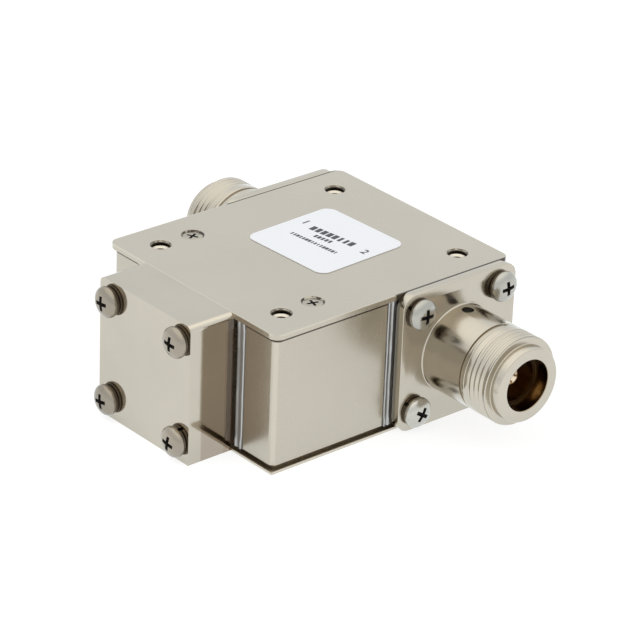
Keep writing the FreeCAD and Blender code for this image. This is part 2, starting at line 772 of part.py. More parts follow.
def make_load_block():
    """Solid block with its two upper side edges rounded, four screw holes and the step for the load chip."""
    body = new_body("LoadBlock")
    outline = new_sketch(body, "LoadOutline", "XZ_Plane", HALF_Y)
    draw_outline(outline, corners_of("load_offset_x", AXIS_Z, "load_block_width", "case_height"))
    slab = extrude(body, "LoadSlab", "PartDesign::Pad", outline, "load_block_depth")
    inward = FreeCAD.Vector(0, 1, 0)
    middle = number(AXIS_Z)
    round_edges(
        body, "LoadRound", "PartDesign::Fillet", slab, "Radius", "load_edge_round",
        lambda edge: runs_along(edge, inward) and edge.CenterOfMass.z > middle,
    )
    holes = new_sketch(body, "LoadHoles", "XZ_Plane", HALF_Y)
    for x, z in LOAD_SCREWS:
        draw_circle(holes, (x, z), "screw_shank_radius + screw_clearance")
    extrude(body, "LoadDrill", "PartDesign::Pocket", holes, "load_block_depth", backwards=True)
    step_top = f"({AXIS_Z} - strip_thick / 2 - chip_thick)"
    step = new_sketch(body, "LoadStep", "XZ_Plane", HALF_Y)
    draw_outline(step, [
        ("-load_step_width / 2", f"{step_top} - load_step_height / 2"),
        ("load_step_width / 2", f"{step_top} - load_step_height / 2"),
        ("load_step_width / 2", step_top),
        ("-load_step_width / 2", step_top),
    ])
    extrude(body, "LoadStepPad", "PartDesign::Pad", step, "load_step_length", backwards=True)
    node(body, "load_block")


def make_load_chip():
    """Ceramic film resistor on the block's step, with a cover over the film in front of the strip's end."""
    bottom = f"({AXIS_Z} - strip_thick / 2 - chip_thick)"
    top = f"({AXIS_Z} - strip_thick / 2)"
    low = ("-chip_side / 2", CHIP_FRONT, bottom)
    high = ("chip_side / 2", f"{CHIP_FRONT} + chip_side", top)
    node(block("Chip", low, high), "load_chip")
    cover_low = ("-chip_side / 2", CHIP_FRONT, top)
    cover_high = ("chip_side / 2", f"{CHIP_FRONT} + chip_cover_length", f"{top} + chip_cover_thick")
    node(block("ChipCover", cover_low, cover_high), "load_chip_cover")


def make_centre_conductor():
    """Flat three arm strip: a disc, two bent arms to the jacks and one to the load, with narrow port tips."""
    half = "strip_width / 2"
    tip = "strip_tip_width / 2"
    slope = "tan(strip_arm_angle * 1 deg)"
    bend_x = f"(({JACK_Y} - junction_y) / {slope})"
    widen = f"({half} / cos(strip_arm_angle * 1 deg))"
    end_x = f"({HALF_X} - tail_length + tail_slot_depth - solder_clearance)"
    neck_x = f"({HALF_X} - tail_length - solder_clearance)"
    load_end = f"({CHIP_FRONT} + chip_cover_length + solder_clearance)"
    lower_bend = f"({bend_x} + ({widen} - {half}) / {slope})"
    upper_bend = f"({bend_x} - ({widen} - {half}) / {slope})"
    right = [
        (half, load_end),
        (half, f"junction_y + {half} * {slope} - {widen}"),
        (lower_bend, f"{JACK_Y} - {half}"),
        (neck_x, f"{JACK_Y} - {half}"),
        (neck_x, f"{JACK_Y} - {tip}"),
        (end_x, f"{JACK_Y} - {tip}"),
        (end_x, f"{JACK_Y} + {tip}"),
        (neck_x, f"{JACK_Y} + {tip}"),
        (neck_x, f"{JACK_Y} + {half}"),
        (upper_bend, f"{JACK_Y} + {half}"),
    ]
    left = [(f"-({x})", y) for x, y in reversed(right)]
    middle = [("0", f"junction_y + {widen}")]
    body = new_body("Strip")
    arms = new_sketch(body, "StripArms", "XY_Plane", f"{AXIS_Z} - strip_thick / 2")
    draw_outline(arms, right + middle + left)
    extrude(body, "StripPad", "PartDesign::Pad", arms, "strip_thick")
    disc = new_sketch(body, "StripDisc", "XY_Plane", f"{AXIS_Z} - strip_thick / 2")
    draw_circle(disc, ("0", "junction_y"), "strip_disc_radius")
    extrude(body, "StripDiscPad", "PartDesign::Pad", disc, "strip_thick")
    node(body, "centre_conductor")


def disc(name, label, bottom, thick, radius):
    node(rod(name, ("0", "junction_y", bottom), thick, radius), label)


def make_junction_stack():
    """Ferrites, rings, ground discs, pole discs and magnets above and below the strip."""
    strip_top = f"({AXIS_Z} + strip_thick / 2)"
    strip_bottom = f"({AXIS_Z} - strip_thick / 2)"
    ground_radius = "cavity_radius - ring_clearance"
    ferrite_top = f"({strip_top} + ferrite_thick)"
    ferrite_bottom = f"({strip_bottom} - ferrite_thick)"
    ground_top = f"({ferrite_top} + ground_disc_thick)"
    ground_bottom = f"({ferrite_bottom} - ground_disc_thick)"
    pole_top = f"({ground_top} + pole_thick)"
    pole_bottom = f"({ground_bottom} - pole_thick)"
    disc("UpperFerrite", "upper_ferrite", strip_top, "ferrite_thick", "ferrite_radius")
    disc("LowerFerrite", "lower_ferrite", ferrite_bottom, "ferrite_thick", "ferrite_radius")
    disc("UpperGround", "upper_ground_disc", ferrite_top, "ground_disc_thick", ground_radius)
    disc("LowerGround", "lower_ground_disc", ground_bottom, "ground_disc_thick", ground_radius)
    disc("UpperPole", "upper_pole_disc", ground_top, "pole_thick", "pole_radius")
    disc("LowerPole", "lower_pole_disc", pole_bottom, "pole_thick", "pole_radius")
    disc("UpperMagnet", "upper_magnet", pole_top, MAGNET_THICK, "pole_radius")
    magnet_bottom = f"({pole_bottom} - {MAGNET_THICK})"
    disc("LowerMagnet", "lower_magnet", magnet_bottom, MAGNET_THICK, "pole_radius")
    shim_thick = f"{magnet_bottom} - base_plate_thick"
    disc("LowerShim", "lower_shim_disc", "base_plate_thick", shim_thick, "pole_radius")
    for label, bottom in (("upper_dielectric_ring", strip_top), ("lower_dielectric_ring", ferrite_bottom)):
        outer = rod(f"{label}_outer", ("0", "junction_y", bottom), "ferrite_thick", ground_radius)
        inner = rod(
            f"{label}_inner", ("0", "junction_y", bottom), "ferrite_thick", "ferrite_radius + ring_clearance"
        )
        node(cut(f"{label}_cut", outer, [inner]), label)


def make_label():
    """Square label with rounded corners, stuck on a little askew."""
    body = new_body("Label")
    outline = new_sketch(body, "LabelOutline", "XY_Plane")
    draw_outline(outline, corners_of("0", "0", "label_side", "label_side"))
    card = extrude(body, "LabelPad", "PartDesign::Pad", outline, "label_thick")
    round_edges(
        body, "LabelCorners", "PartDesign::Fillet", card, "Radius", "label_round",
        lambda edge: runs_along(edge, UPRIGHT),
    )
    askew = FreeCAD.Rotation(FreeCAD.Vector(0, 0, 1), number("label_turn"))
    body.Placement = FreeCAD.Placement(FreeCAD.Vector(), askew)
    place(body, "label_middle_x", "label_middle_y", "case_height")
    node(body, "label")


def make_everything():
    make_top_plate()
    make_base_plate()
    make_housing()
    make_corner_shield("front_right_shield", 1, f"{LOAD_BOSS_RIGHT} + seam_gap + seam_length")
    make_corner_shield("front_left_shield", -1, f"{LOAD_BOSS_LEFT} - seam_gap - seam_length")
    make_rear_shield()
    make_solder_seams()
    flange_screw = make_pan_screw("FlangeScrew", "flange_thick + washer_thick")
    load_screw = make_pan_screw("LoadScrew", "load_block_depth + washer_thick")
    washer = make_lock_washer()
    for port, direction in ((1, "-X"), (2, "+X")):
        make_jack_shell(port, direction)
        make_insulator(port, direction)
        make_epoxy_plug(port, direction)
        make_contact(port, direction)
        screws = copies(f"Port{port}Screw", flange_screw, direction, "(flange_thick + washer_thick)")
        group(f"port_{port}_flange_screws", screws)
        washers = copies(f"Port{port}Washer", washer, direction, "flange_thick")
        group(f"port_{port}_lock_washers", washers)
    make_load_block()
    make_load_chip()
    group("load_screws", copies("LoadScrewCopy", load_screw, "-Y", "(load_block_depth + washer_thick)"))
    group("load_lock_washers", copies("LoadWasherCopy", washer, "-Y", "load_block_depth"))
    make_flush_screws()
    make_centre_conductor()
    make_junction_stack()
    make_label()


make_everything()
doc.recompute()

for thing in doc.Objects:
    if "Invalid" in thing.State or "Error" in thing.State:
        raise RuntimeError(f"{thing.Name} did not compute")
for label, thing in nodes.items():
    if thing.Shape.isNull() or not thing.Shape.isValid():
        raise RuntimeError(f"{label} has no valid shape")
for label, thing in nodes.items():
    thing.Shape.exportStep(f"parts/{label}.step")
    print(label, len(thing.Shape.Solids), round(thing.Shape.Volume, 2))
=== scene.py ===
# %% [markdown]
# The imported model is the fixed frame. Every piece below is made in metres in that same frame, so nothing
# is fitted afterwards.
# %% Load the frame
import math

import bmesh
import bpy
from mathutils import Matrix, Vector, noise


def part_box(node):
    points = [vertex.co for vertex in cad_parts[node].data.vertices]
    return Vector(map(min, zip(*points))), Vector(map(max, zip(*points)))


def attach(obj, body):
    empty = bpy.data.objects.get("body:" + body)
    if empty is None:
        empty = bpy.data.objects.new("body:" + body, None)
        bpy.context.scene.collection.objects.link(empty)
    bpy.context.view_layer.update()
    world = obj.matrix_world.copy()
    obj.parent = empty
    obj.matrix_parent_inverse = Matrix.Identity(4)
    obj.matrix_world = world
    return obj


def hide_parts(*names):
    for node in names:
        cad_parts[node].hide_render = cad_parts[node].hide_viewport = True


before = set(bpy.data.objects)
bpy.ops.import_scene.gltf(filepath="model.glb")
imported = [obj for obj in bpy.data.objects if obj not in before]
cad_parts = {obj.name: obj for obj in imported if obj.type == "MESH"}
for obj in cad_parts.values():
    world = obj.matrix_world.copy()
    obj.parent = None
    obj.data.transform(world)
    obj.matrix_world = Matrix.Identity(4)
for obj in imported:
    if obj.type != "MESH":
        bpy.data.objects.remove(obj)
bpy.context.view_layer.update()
MM = 0.001
print("nodes:", len(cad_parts))

# %% [markdown]
# Every finish here is nickel, steel, gold or solder with small changes over its surface. A tiny class wraps a
# socket, so that shader maths reads as a Python sum, and one method adds any other node.
# %% Shader helpers
def as_math(operation, reflected=False):
    def forward(self, other):
        return self.paint.math(operation, self, other)

    def backward(self, other):
        return self.paint.math(operation, other, self)

    return backward if reflected else forward


def set_up(thing, **settings):
    """Gives a node, modifier, curve or lamp its settings."""
    for name, value in settings.items():
        setattr(thing, name, value)
    return thing


class Wire:
    """A socket that adds Math nodes when it is used in a sum."""

    def __init__(self, paint, socket):
        self.paint = paint
        self.socket = socket

    __add__ = as_math("ADD")
    __radd__ = as_math("ADD", True)
    __sub__ = as_math("SUBTRACT")
    __rsub__ = as_math("SUBTRACT", True)
    __mul__ = as_math("MULTIPLY")
    __truediv__ = as_math("DIVIDE")


class Paint:
    """A material's node tree, with one method that adds any node."""

    def __init__(self, material, start="ShaderNodeBsdfPrincipled"):
        self.material = material
        self.tree = material.node_tree
        self.tree.nodes.clear()
        self.shader = self.add(start) if start else None

    def feed(self, socket, value):
        if isinstance(value, Wire):
            self.tree.links.new(value.socket, socket)
        else:
            socket.default_value = value

    def add(self, kind, inputs=None, **settings):
        made = set_up(self.tree.nodes.new(kind), **settings)
        for name, value in (inputs or {}).items():
            self.feed(made.inputs[name], value)
        return made

    def wire(self, kind, inputs=None, output=0, **settings):
        return Wire(self, self.add(kind, inputs, **settings).outputs[output])

    def math(self, operation, first, second=0.0):
        return self.wire("ShaderNodeMath", {0: first, 1: second}, operation=operation)

    def size_of(self, value):
        """The value without its sign, for a mask that is the same on both sides."""
        return self.math("ABSOLUTE", value)

    def clamp(self, value, low=0.0, high=1.0):
        return self.wire("ShaderNodeClamp", {"Value": value, "Min": low, "Max": high})

    def blend(self, factor, first, second):
        inputs = {0: factor, 6: first, 7: second}
        return self.wire("ShaderNodeMix", inputs, 2, data_type="RGBA", clamp_factor=True)

    def split(self, vector):
        """The three parts of a vector, as wires."""
        parts = self.add("ShaderNodeSeparateXYZ", {0: vector})
        return [Wire(self, parts.outputs[axis]) for axis in "XYZ"]

    def spot(self):
        return self.wire("ShaderNodeTexCoord", output="Object")

    def axes(self):
        """The three object coordinates in metres."""
        return self.split(self.spot())

    def facing(self):
        """The three parts of the surface's direction."""
        return self.split(self.wire("ShaderNodeNewGeometry", output="Normal"))

    def length(self, across, along):
        return self.math("SQRT", across * across + along * along)

    def above(self, value, start, full):
        """Zero up to the start, rising to one at the full value."""
        return self.clamp((value - start) / (full - start))

    def below(self, value, full, end):
        """One up to the full value, falling to zero at the end."""
        return 1.0 - self.above(value, full, end)

    def speckle(self, scale, stretch=(1, 1, 1), detail=3.0, rough=0.55):
        place = self.wire("ShaderNodeMapping", {"Vector": self.spot(), "Scale": stretch})
        inputs = {"Vector": place, "Scale": scale, "Detail": detail, "Roughness": rough}
        return self.wire("ShaderNodeTexNoise", inputs)

    def bump(self, height, strength, depth):
        inputs = {"Height": height, "Strength": strength, "Distance": depth}
        return self.wire("ShaderNodeBump", inputs)

    def finish(self, **inputs):
        """Feeds the shader and joins it to the material's output."""
        for name, value in inputs.items():
            self.feed(self.shader.inputs[name.replace("_", " ")], value)
        surface = self.tree.nodes.new("ShaderNodeOutputMaterial")
        self.tree.links.new(self.shader.outputs[0], surface.inputs["Surface"])
        return self.material


def new_paint(name, start="ShaderNodeBsdfPrincipled"):
    material = bpy.data.materials.new(name)
    material.use_nodes = True
    return Paint(material, start)


def shade(colour, amount):
    """The colour made darker or lighter, as numbers."""
    return tuple(min(1.0, part * amount) for part in colour[:3]) + (1.0,)


print("shader helpers ready")

# %% [markdown]
# Nickel plate is nearly a mirror, a little brown, with soft stains from handling, a fine grain left by rolling
# or turning under the plating and some tiny pits. A stretched noise gives the grain, so one recipe serves
# sheet, turned and milled pieces, with the grain along another axis. One mask darkens the finish as painted
# shade and another lightens it as a painted highlight, both by the place on the piece or the way its surface faces.
# %% The metal recipe
NICKEL = (0.455, 0.402, 0.326, 1.0)
# Painted shade: the near-black colour that the shade masks blend in.
PAINTED_SHADE = (0.03, 0.022, 0.015, 1.0)
STAIN_SCALE = 55
CLOUD_SCALE = 210
GRAIN_SCALE = 900
PIT_SCALE = 2600
PIT_LEVEL = 0.72
PIT_DARKNESS = 0.45
METAL_BUMP = 0.55
GRAIN_HEIGHT = 0.8
CLOUD_HEIGHT = 0.35
UNEVEN_BY_CLOUD = 0.5
UNEVEN_BY_GRAIN = 0.45


def metal(name, colour, roughness, grain, grain_depth, stain=0.05, pits=0.25, shade_mask=None, dark=PAINTED_SHADE, highlight=None,
          highlight_tone=1.15, metallic=1.0):
    """Plated metal with stains, a directed grain and pits, and painted shade and a painted highlight where their
    masks are given.
    """
    paint = new_paint(name)
    stains = paint.speckle(STAIN_SCALE, detail=4.0)
    clouds = paint.speckle(CLOUD_SCALE, detail=5.0, rough=0.65)
    lines = paint.speckle(GRAIN_SCALE, grain, detail=4.0, rough=0.7)
    pitting = paint.clamp((paint.speckle(PIT_SCALE, detail=1.0) - PIT_LEVEL) * 9.0)
    darker = shade(colour, 1.0 - stain)
    lighter = shade(colour, 1.0 + stain * 0.7)
    tone = paint.blend(paint.clamp((stains - 0.35) * 2.6), darker, lighter)
    tone = paint.blend(pitting * pits, tone, shade(colour, PIT_DARKNESS))
    # Painted highlight: the colour is lightened where the highlight mask is given.
    if highlight:
        bright = highlight_tone if isinstance(highlight_tone, tuple) else shade(colour, highlight_tone)
        tone = paint.blend(highlight(paint), tone, bright)
    # Painted shade: the colour is darkened where the shade mask is given.
    if shade_mask:
        tone = paint.blend(shade_mask(paint), tone, dark(paint) if callable(dark) else dark)
    cloudy = (clouds - 0.5) * roughness * UNEVEN_BY_CLOUD
    lined = (lines - 0.5) * roughness * UNEVEN_BY_GRAIN
    rough = paint.clamp(roughness + cloudy + lined, 0.03, 0.9)
    height = lines * GRAIN_HEIGHT + clouds * CLOUD_HEIGHT - pitting * min(0.6, pits * 8)
    bump = paint.bump(height, METAL_BUMP, grain_depth)
    return paint.finish(Base_Color=tone, Metallic=metallic, Roughness=rough, Normal=bump)


print("metal recipe ready")

# %% [markdown]
# The plate and the housing get painted shade where the plate meets another piece and in its holes, and painted
# highlights on the plate's upper edges and in the housing's holes. Each mask below gives the strength of one
# such mark from the distance to the place where it starts.
# The pairs of places say where a mark starts and where it is full.
# %% Marks on the plates and the housing
CASE_TOP = 25.4 * MM
PLATE_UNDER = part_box("top_plate")[0].z
HOLE_PLACE = (16.02 * MM, 19.4 * MM)
HOLE_RADIUS = 1.6 * MM
HOLE_WALL = (HOLE_RADIUS, HOLE_RADIUS + 0.05 * MM)
HOLE_BURR = (1.78 * MM, 1.84 * MM)
HOLE_OUTSIDE = (2.04 * MM, 2.1 * MM)
HOLE_TOP = (25.33 * MM, 25.37 * MM)
FLUSH_PLACES = [(-15.9 * MM, -12.6 * MM), (15.9 * MM, -12.6 * MM)]
FLUSH_SEAT = (2.0 * MM, 2.06 * MM)
BESIDE_FLANGE = (22.0 * MM, 22.08 * MM)
FLANGE_SIDE = (-0.2 * MM, 0.2 * MM)
PLATE_END_X = (22.12 * MM, 22.2 * MM)
PLATE_END_Y = (25.57 * MM, 25.65 * MM)
PLATE_RIM = (25.15 * MM, 25.22 * MM)
BOSS_FACE = (22.2 * MM, 22.3 * MM)


def from_hole(paint):
    """The distance from the middle of the nearest mounting hole."""
    x, y, z = paint.axes()
    return paint.length(paint.size_of(x) - HOLE_PLACE[0], paint.size_of(y) - HOLE_PLACE[1])


def hole_shade(paint):
    """Painted shade in the countersink of a mounting hole: a dark ring at its rim, a cone streaked like burrs and a
    dark wall.
    """
    x, y, z = paint.axes()
    reach = from_hole(paint)
    rim = paint.above(reach, *HOLE_BURR)
    wall = paint.below(reach, *HOLE_WALL)
    burr = paint.above(paint.speckle(1500, (1, 1, 0.5)), 0.46, 0.56)
    cone = (1.0 - rim) * (1.0 - wall) * (0.35 + burr * 0.4)
    marks = rim * 0.93 + cone + wall * 0.8
    return marks * paint.below(z, *HOLE_TOP) * paint.below(reach, *HOLE_OUTSIDE)


def plate_painted_shade(paint):
    """Painted shade along the flanges, where the edge of the plate meets the jack's metal, and in holes and screw
    seats.
    """
    x, y, z = paint.axes()
    mirrored_x = paint.size_of(x)
    beside = paint.above(mirrored_x, *BESIDE_FLANGE) * paint.above(y, *FLANGE_SIDE)
    reach = paint.length(mirrored_x - FLUSH_PLACES[1][0], y - FLUSH_PLACES[1][1])
    # Painted shade in the screw seats, made patchy by a noise.
    patchy = paint.above(paint.speckle(GRAIN_SCALE), 0.42, 0.52) * 0.7
    seat = paint.below(reach, *FLUSH_SEAT) * (0.25 + patchy)
    return paint.clamp(beside * 0.9 + seat + hole_shade(paint))


def plate_edge_highlight(paint):
    """A painted highlight on the upper edge all round."""
    x, y, z = paint.axes()
    ends = paint.above(paint.size_of(x), *PLATE_END_X) + paint.above(paint.size_of(y), *PLATE_END_Y)
    return paint.clamp(ends) * paint.above(z, *PLATE_RIM) * 0.8


def hole_painted_light(paint):
    """A painted highlight on the cone that leads a screw into the tapped hole, where light falls in."""
    return paint.below(from_hole(paint), *HOLE_WALL)


def boss_shade(paint):
    """Painted shade on the faces that the flanges bolt to, as a dull strip beside them."""
    return paint.above(paint.size_of(paint.axes()[0]), *BOSS_FACE) * 0.4


print("plate under side at", round(PLATE_UNDER / MM, 2), "mm")

# %% [markdown]
# The walls get painted shade under the plate and a painted highlight at their bends. The load block gets a
# painted dark reflection on the back part of its sides and painted shade in two bands where its back bears on
# the case. Solder gets a painted highlight on the flanks that face forward, and a contact's tip a pale painted
# highlight.
# %% Marks on walls, block, solder and contacts
WALL_TOP = (PLATE_UNDER - 0.78 * MM, PLATE_UNDER - 0.66 * MM)
WALL_FOOT = (0.8 * MM, 1.05 * MM)
# Painted dark reflection: how strongly the block's sides are darkened.
BLOCK_SIDE_SHADE = 0.28
BLOCK_SIDE_BACK = (-32.3 * MM, -32.05 * MM)
BLOCK_BAND = (-27.7 * MM, -27.3 * MM)
BLOCK_BEARING = (-26.1 * MM, -25.95 * MM)
BLOCK_SHOULDER = (22.5 * MM, 23.0 * MM)
CONTACT_TIP = (36.6 * MM, 37.0 * MM)


def wall_painted_shade(paint):
    """Painted shade under the overhang of the top plate and in the gap above the base plate."""
    x, y, z = paint.axes()
    return paint.clamp(paint.above(z, *WALL_TOP) * 0.93 + paint.below(z, *WALL_FOOT) * 0.5)


def wall_bend_highlight(paint):
    """A painted highlight on the bends of the walls, which face neither along X nor along Y."""
    x, y, z = paint.facing()
    return paint.above(paint.size_of(x * y), 0.3, 0.45) * 0.9


def block_painted_shade(paint):
    """A painted dark reflection on the back part of the block's sides, and painted shade in the bands where its back
    bears on the case.
    """
    x, y, z = paint.axes()
    side = paint.above(paint.size_of(paint.facing()[0]), 0.9, 0.97) * BLOCK_SIDE_SHADE
    side = side * paint.above(y, *BLOCK_SIDE_BACK)
    bearing = paint.above(y, *BLOCK_BEARING) * 0.4 + paint.above(y, *BLOCK_BAND) * 0.4
    return paint.math("MAXIMUM", side, bearing * paint.below(z, *BLOCK_SHOULDER))


def block_edge_highlight(paint):
    """A painted highlight on the two rounded edges above the block's sides, by the way they face."""
    x, y, z = paint.facing()
    return paint.above(paint.size_of(x), 0.15, 0.4) * paint.above(z, 0.15, 0.4) * 0.8


def solder_highlight(paint):
    """A painted highlight on the flanks of a seam that face forward."""
    x, y, z = paint.facing()
    return paint.above(0.0 - y, 0.2, 0.45) * paint.above(paint.size_of(x), 0.25, 0.5)


def contact_tip_highlight(paint):
    """The tip of a contact, made pale as a painted highlight."""
    return paint.above(paint.size_of(paint.axes()[0]), *CONTACT_TIP)


print("masks for walls, block, solder and contacts ready")

# %% [markdown]
# The bore of a jack is plated too, but it reads brown to black, because light only gets in through the mouth.
# Its masks go by the distance from the axis that the two jacks share.
# %% Shade in the bores
JACK_Y = 12.9 * MM
AXIS_Z = 12.7 * MM
BORE_RADIUS = 4.1 * MM
MOUTH_RADIUS = 4.6 * MM
# Painted shade in the bore, brown for the gold that it mirrors.
BORE_SHADE_BROWN = (0.27, 0.165, 0.065, 1.0)


def from_axis(paint):
    """The distance from the common axis of the two jacks."""
    x, y, z = paint.axes()
    return paint.length(y - JACK_Y, z - AXIS_Z)


def bore_shade(paint):
    """Inside the mouth of the jacks, darkened as painted shade."""
    return paint.below(from_axis(paint), MOUTH_RADIUS, MOUTH_RADIUS + 0.12 * MM)


def bore_shade_colour(paint):
    """Painted shade in the bore: brown, and darker on the step inside the mouth."""
    reach = from_axis(paint)
    outer = paint.below(reach, MOUTH_RADIUS - 0.06 * MM, MOUTH_RADIUS)
    step = paint.above(reach, BORE_RADIUS, BORE_RADIUS + 0.06 * MM) * outer
    return paint.blend(step, BORE_SHADE_BROWN, PAINTED_SHADE)


print("bore masks ready")

# %% [markdown]
# All metals come from the one recipe. Sheet has its grain along the rolling direction, turned pieces round the
# axis, and screws and washers none, but more stains and pits, because they are barrel plated.
# %% Metal finishes
SHEET_GRAIN = (1.0, 8.0, 1.0)
SMALL_PART_GRAIN = (1.5, 1.5, 1.5)
SCREW_STEEL = (0.46, 0.43, 0.375, 1.0)
# Painted shade: the block's screws are a darker copy of the flange screws' steel.
BLOCK_SCREW_SHADE = (0.33, 0.28, 0.22, 1.0)
# Painted shade: the lock washers are near-black brown for the shade under the screw heads.
WASHER_SHADE = (0.12, 0.095, 0.07, 1.0)
ZINC_STEEL = (0.5, 0.5, 0.49, 1.0)
SOLDER = (0.38, 0.375, 0.36, 1.0)
GOLD = (0.95, 0.66, 0.3, 1.0)
# Painted highlight: the pale gold of the contact's tip.
TIP_HIGHLIGHT_GOLD = (1.0, 0.82, 0.6, 1.0)
SILVER = (0.82, 0.81, 0.78, 1.0)
# Painted shade and dark reflection on the load block, in brown.
BLOCK_SHADE_BROWN = (0.12, 0.035, 0.005, 1.0)

plate_finish = metal(
    "plate_nickel_sheet", shade(NICKEL, 1.02), 0.25, SHEET_GRAIN, 0.9e-6,
    stain=0.025, pits=0.05, shade_mask=plate_painted_shade, highlight=plate_edge_highlight,
)
base_finish = metal("base_nickel_sheet", shade(NICKEL, 1.15), 0.3, SHEET_GRAIN, 1e-6, stain=0.03, pits=0.05)
wall_finish = metal(
    "wall_nickel_sheet", shade(NICKEL, 0.97), 0.25, (7.0, 7.0, 0.6), 0.3e-6,
    stain=0.04, pits=0.0, shade_mask=wall_painted_shade, highlight=wall_bend_highlight,
)
block_finish = metal(
    "load_nickel", shade(NICKEL, 0.99), 0.07, (0.8, 8.0, 1.0), 0.8e-6,
    pits=0.05, shade_mask=block_painted_shade, dark=BLOCK_SHADE_BROWN, highlight=block_edge_highlight,
)
turned_finish = metal(
    "jack_nickel_turned", shade(NICKEL, 1.03), 0.19, (9.0, 0.5, 0.5), 2.5e-6,
    pits=0.08, shade_mask=bore_shade, dark=bore_shade_colour,
)
housing_finish = metal(
    "housing_nickel_milled", shade(NICKEL, 1.08), 0.3, (1.0, 1.0, 6.0), 1.5e-6,
    shade_mask=boss_shade, highlight=hole_painted_light,
)
screw_finish = metal("flange_screw_steel", SCREW_STEEL, 0.26, SMALL_PART_GRAIN, 8e-6, stain=0.2, pits=0.9)
block_screw_shaded_finish = metal(
    "block_screw_steel", BLOCK_SCREW_SHADE, 0.26, SMALL_PART_GRAIN, 8e-6, stain=0.2, pits=0.9
)
flush_finish = metal("flush_screw_steel", shade(NICKEL, 0.9), 0.3, SMALL_PART_GRAIN, 6e-6, stain=0.14, pits=0.6)
washer_finish = metal("washer_steel", WASHER_SHADE, 0.36, SMALL_PART_GRAIN, 6e-6, stain=0.15, pits=0.6)
solder_finish = metal(
    "tinned_solder", SOLDER, 0.32, (2.0, 2.0, 0.5), 6e-6,
    stain=0.1, pits=0.1, highlight=solder_highlight, highlight_tone=1.6, metallic=0.4,
)
gold_finish = metal(
    "contact_gold_plate", GOLD, 0.35, (6.0, 0.6, 0.6), 2e-6,
    stain=0.08, pits=0.1, highlight=contact_tip_highlight, highlight_tone=TIP_HIGHLIGHT_GOLD, metallic=0.6,
)
silver_finish = metal("silver_plate", SILVER, 0.22, (3.0, 1.0, 1.0), 3e-6, stain=0.06)
steel_finish = metal("zinc_steel", ZINC_STEEL, 0.3, (1.0, 5.0, 1.0), 5e-6, stain=0.08)
print("metals:", len(bpy.data.materials))

# %% [markdown]
# Plastics, ceramics and the label are not metal, so they get a plain recipe with a soft mottle and a fine bump.
# The bead of a jack is white plastic, but brown here, because it sits in the shade of the bore behind gold.
# %% Plastic, ceramic and paper finishes
def plain(name, colour, roughness, mottle, scale=600, depth=5e-6, specular=0.5):
    """A matt body colour with a soft mottle and a fine bump."""
    paint = new_paint(name)
    cloud = paint.speckle(scale, detail=4.0)
    fine = paint.speckle(scale * 9, detail=2.0)
    tone = paint.blend(cloud, shade(colour, 1.0 - mottle), shade(colour, 1.0 + mottle))
    rough = paint.clamp(roughness + (fine - 0.5) * 0.15)
    paint.shader.inputs["Specular IOR Level"].default_value = specular
    return paint.finish(Base_Color=tone, Roughness=rough, Normal=paint.bump(fine, 0.5, depth))


label_finish = plain("label_film_white", (0.8, 0.81, 0.83, 1.0), 0.42, 0.012, 300, 2e-6)
ink_finish = plain("label_ink", (0.025, 0.025, 0.03, 1.0), 0.5, 0.2, 900, 2e-6)
bead_finish = plain("insulator_ptfe_shaded", (0.3, 0.2, 0.12, 1.0), 0.5, 0.06)
epoxy_finish = plain("epoxy_black_cast", (0.008, 0.007, 0.006, 1.0), 0.5, 0.3, specular=0.2)
# Painted shade: the cross recesses of the screws are near-black.
recess_shade_finish = plain("recess_dark_steel", (0.014, 0.011, 0.009, 1.0), 0.6, 0.3, specular=0.2)
ferrite_finish = plain("ferrite_ground", (0.05, 0.05, 0.055, 1.0), 0.4, 0.15)
ceramic_finish = plain("ceramic_fired", (0.8, 0.79, 0.73, 1.0), 0.55, 0.04)
print("materials:", len(bpy.data.materials))

# %% [markdown]
# The photograph was taken with a long lens from the front right corner, looking down at about 26 degrees. Its
# place was worked out from the edges, holes and ellipses of the object in the picture.
# %% Camera
CAMERA_TURN = math.radians(48.716)
CAMERA_LIFT = math.radians(26.506)
CAMERA_ROLL = math.radians(2.335)
CAMERA_FOCUS = Vector((0, 0, 13.4 * MM))
CAMERA_SLIDE = (2.263 * MM, -1.363 * MM, 587.479 * MM)
PICTURE_WIDTH = 640
FOCAL_PIXELS = 3434.41


def link(name, data):
    """A new object in the scene."""
    made = bpy.data.objects.new(name, data)
    bpy.context.scene.collection.objects.link(made)
    return made


def add_camera():
    """The camera, turned by its three angles, then slid sideways and back to frame the object."""
    turn = Matrix.Rotation(CAMERA_TURN, 4, "Z") @ Matrix.Rotation(math.pi / 2 - CAMERA_LIFT, 4, "X")
    turn = turn @ Matrix.Rotation(CAMERA_ROLL, 4, "Z")
    lens = bpy.data.cameras.new("camera")
    lens.sensor_width = 36.0
    lens.lens = FOCAL_PIXELS * lens.sensor_width / PICTURE_WIDTH
    lens.clip_start = 0.01
    camera = link("camera", lens)
    camera.matrix_world = Matrix.Translation(CAMERA_FOCUS) @ turn @ Matrix.Translation(CAMERA_SLIDE)
    bpy.context.scene.camera = camera
    return camera


camera = add_camera()
print("lens:", round(camera.data.lens, 1), "mm")

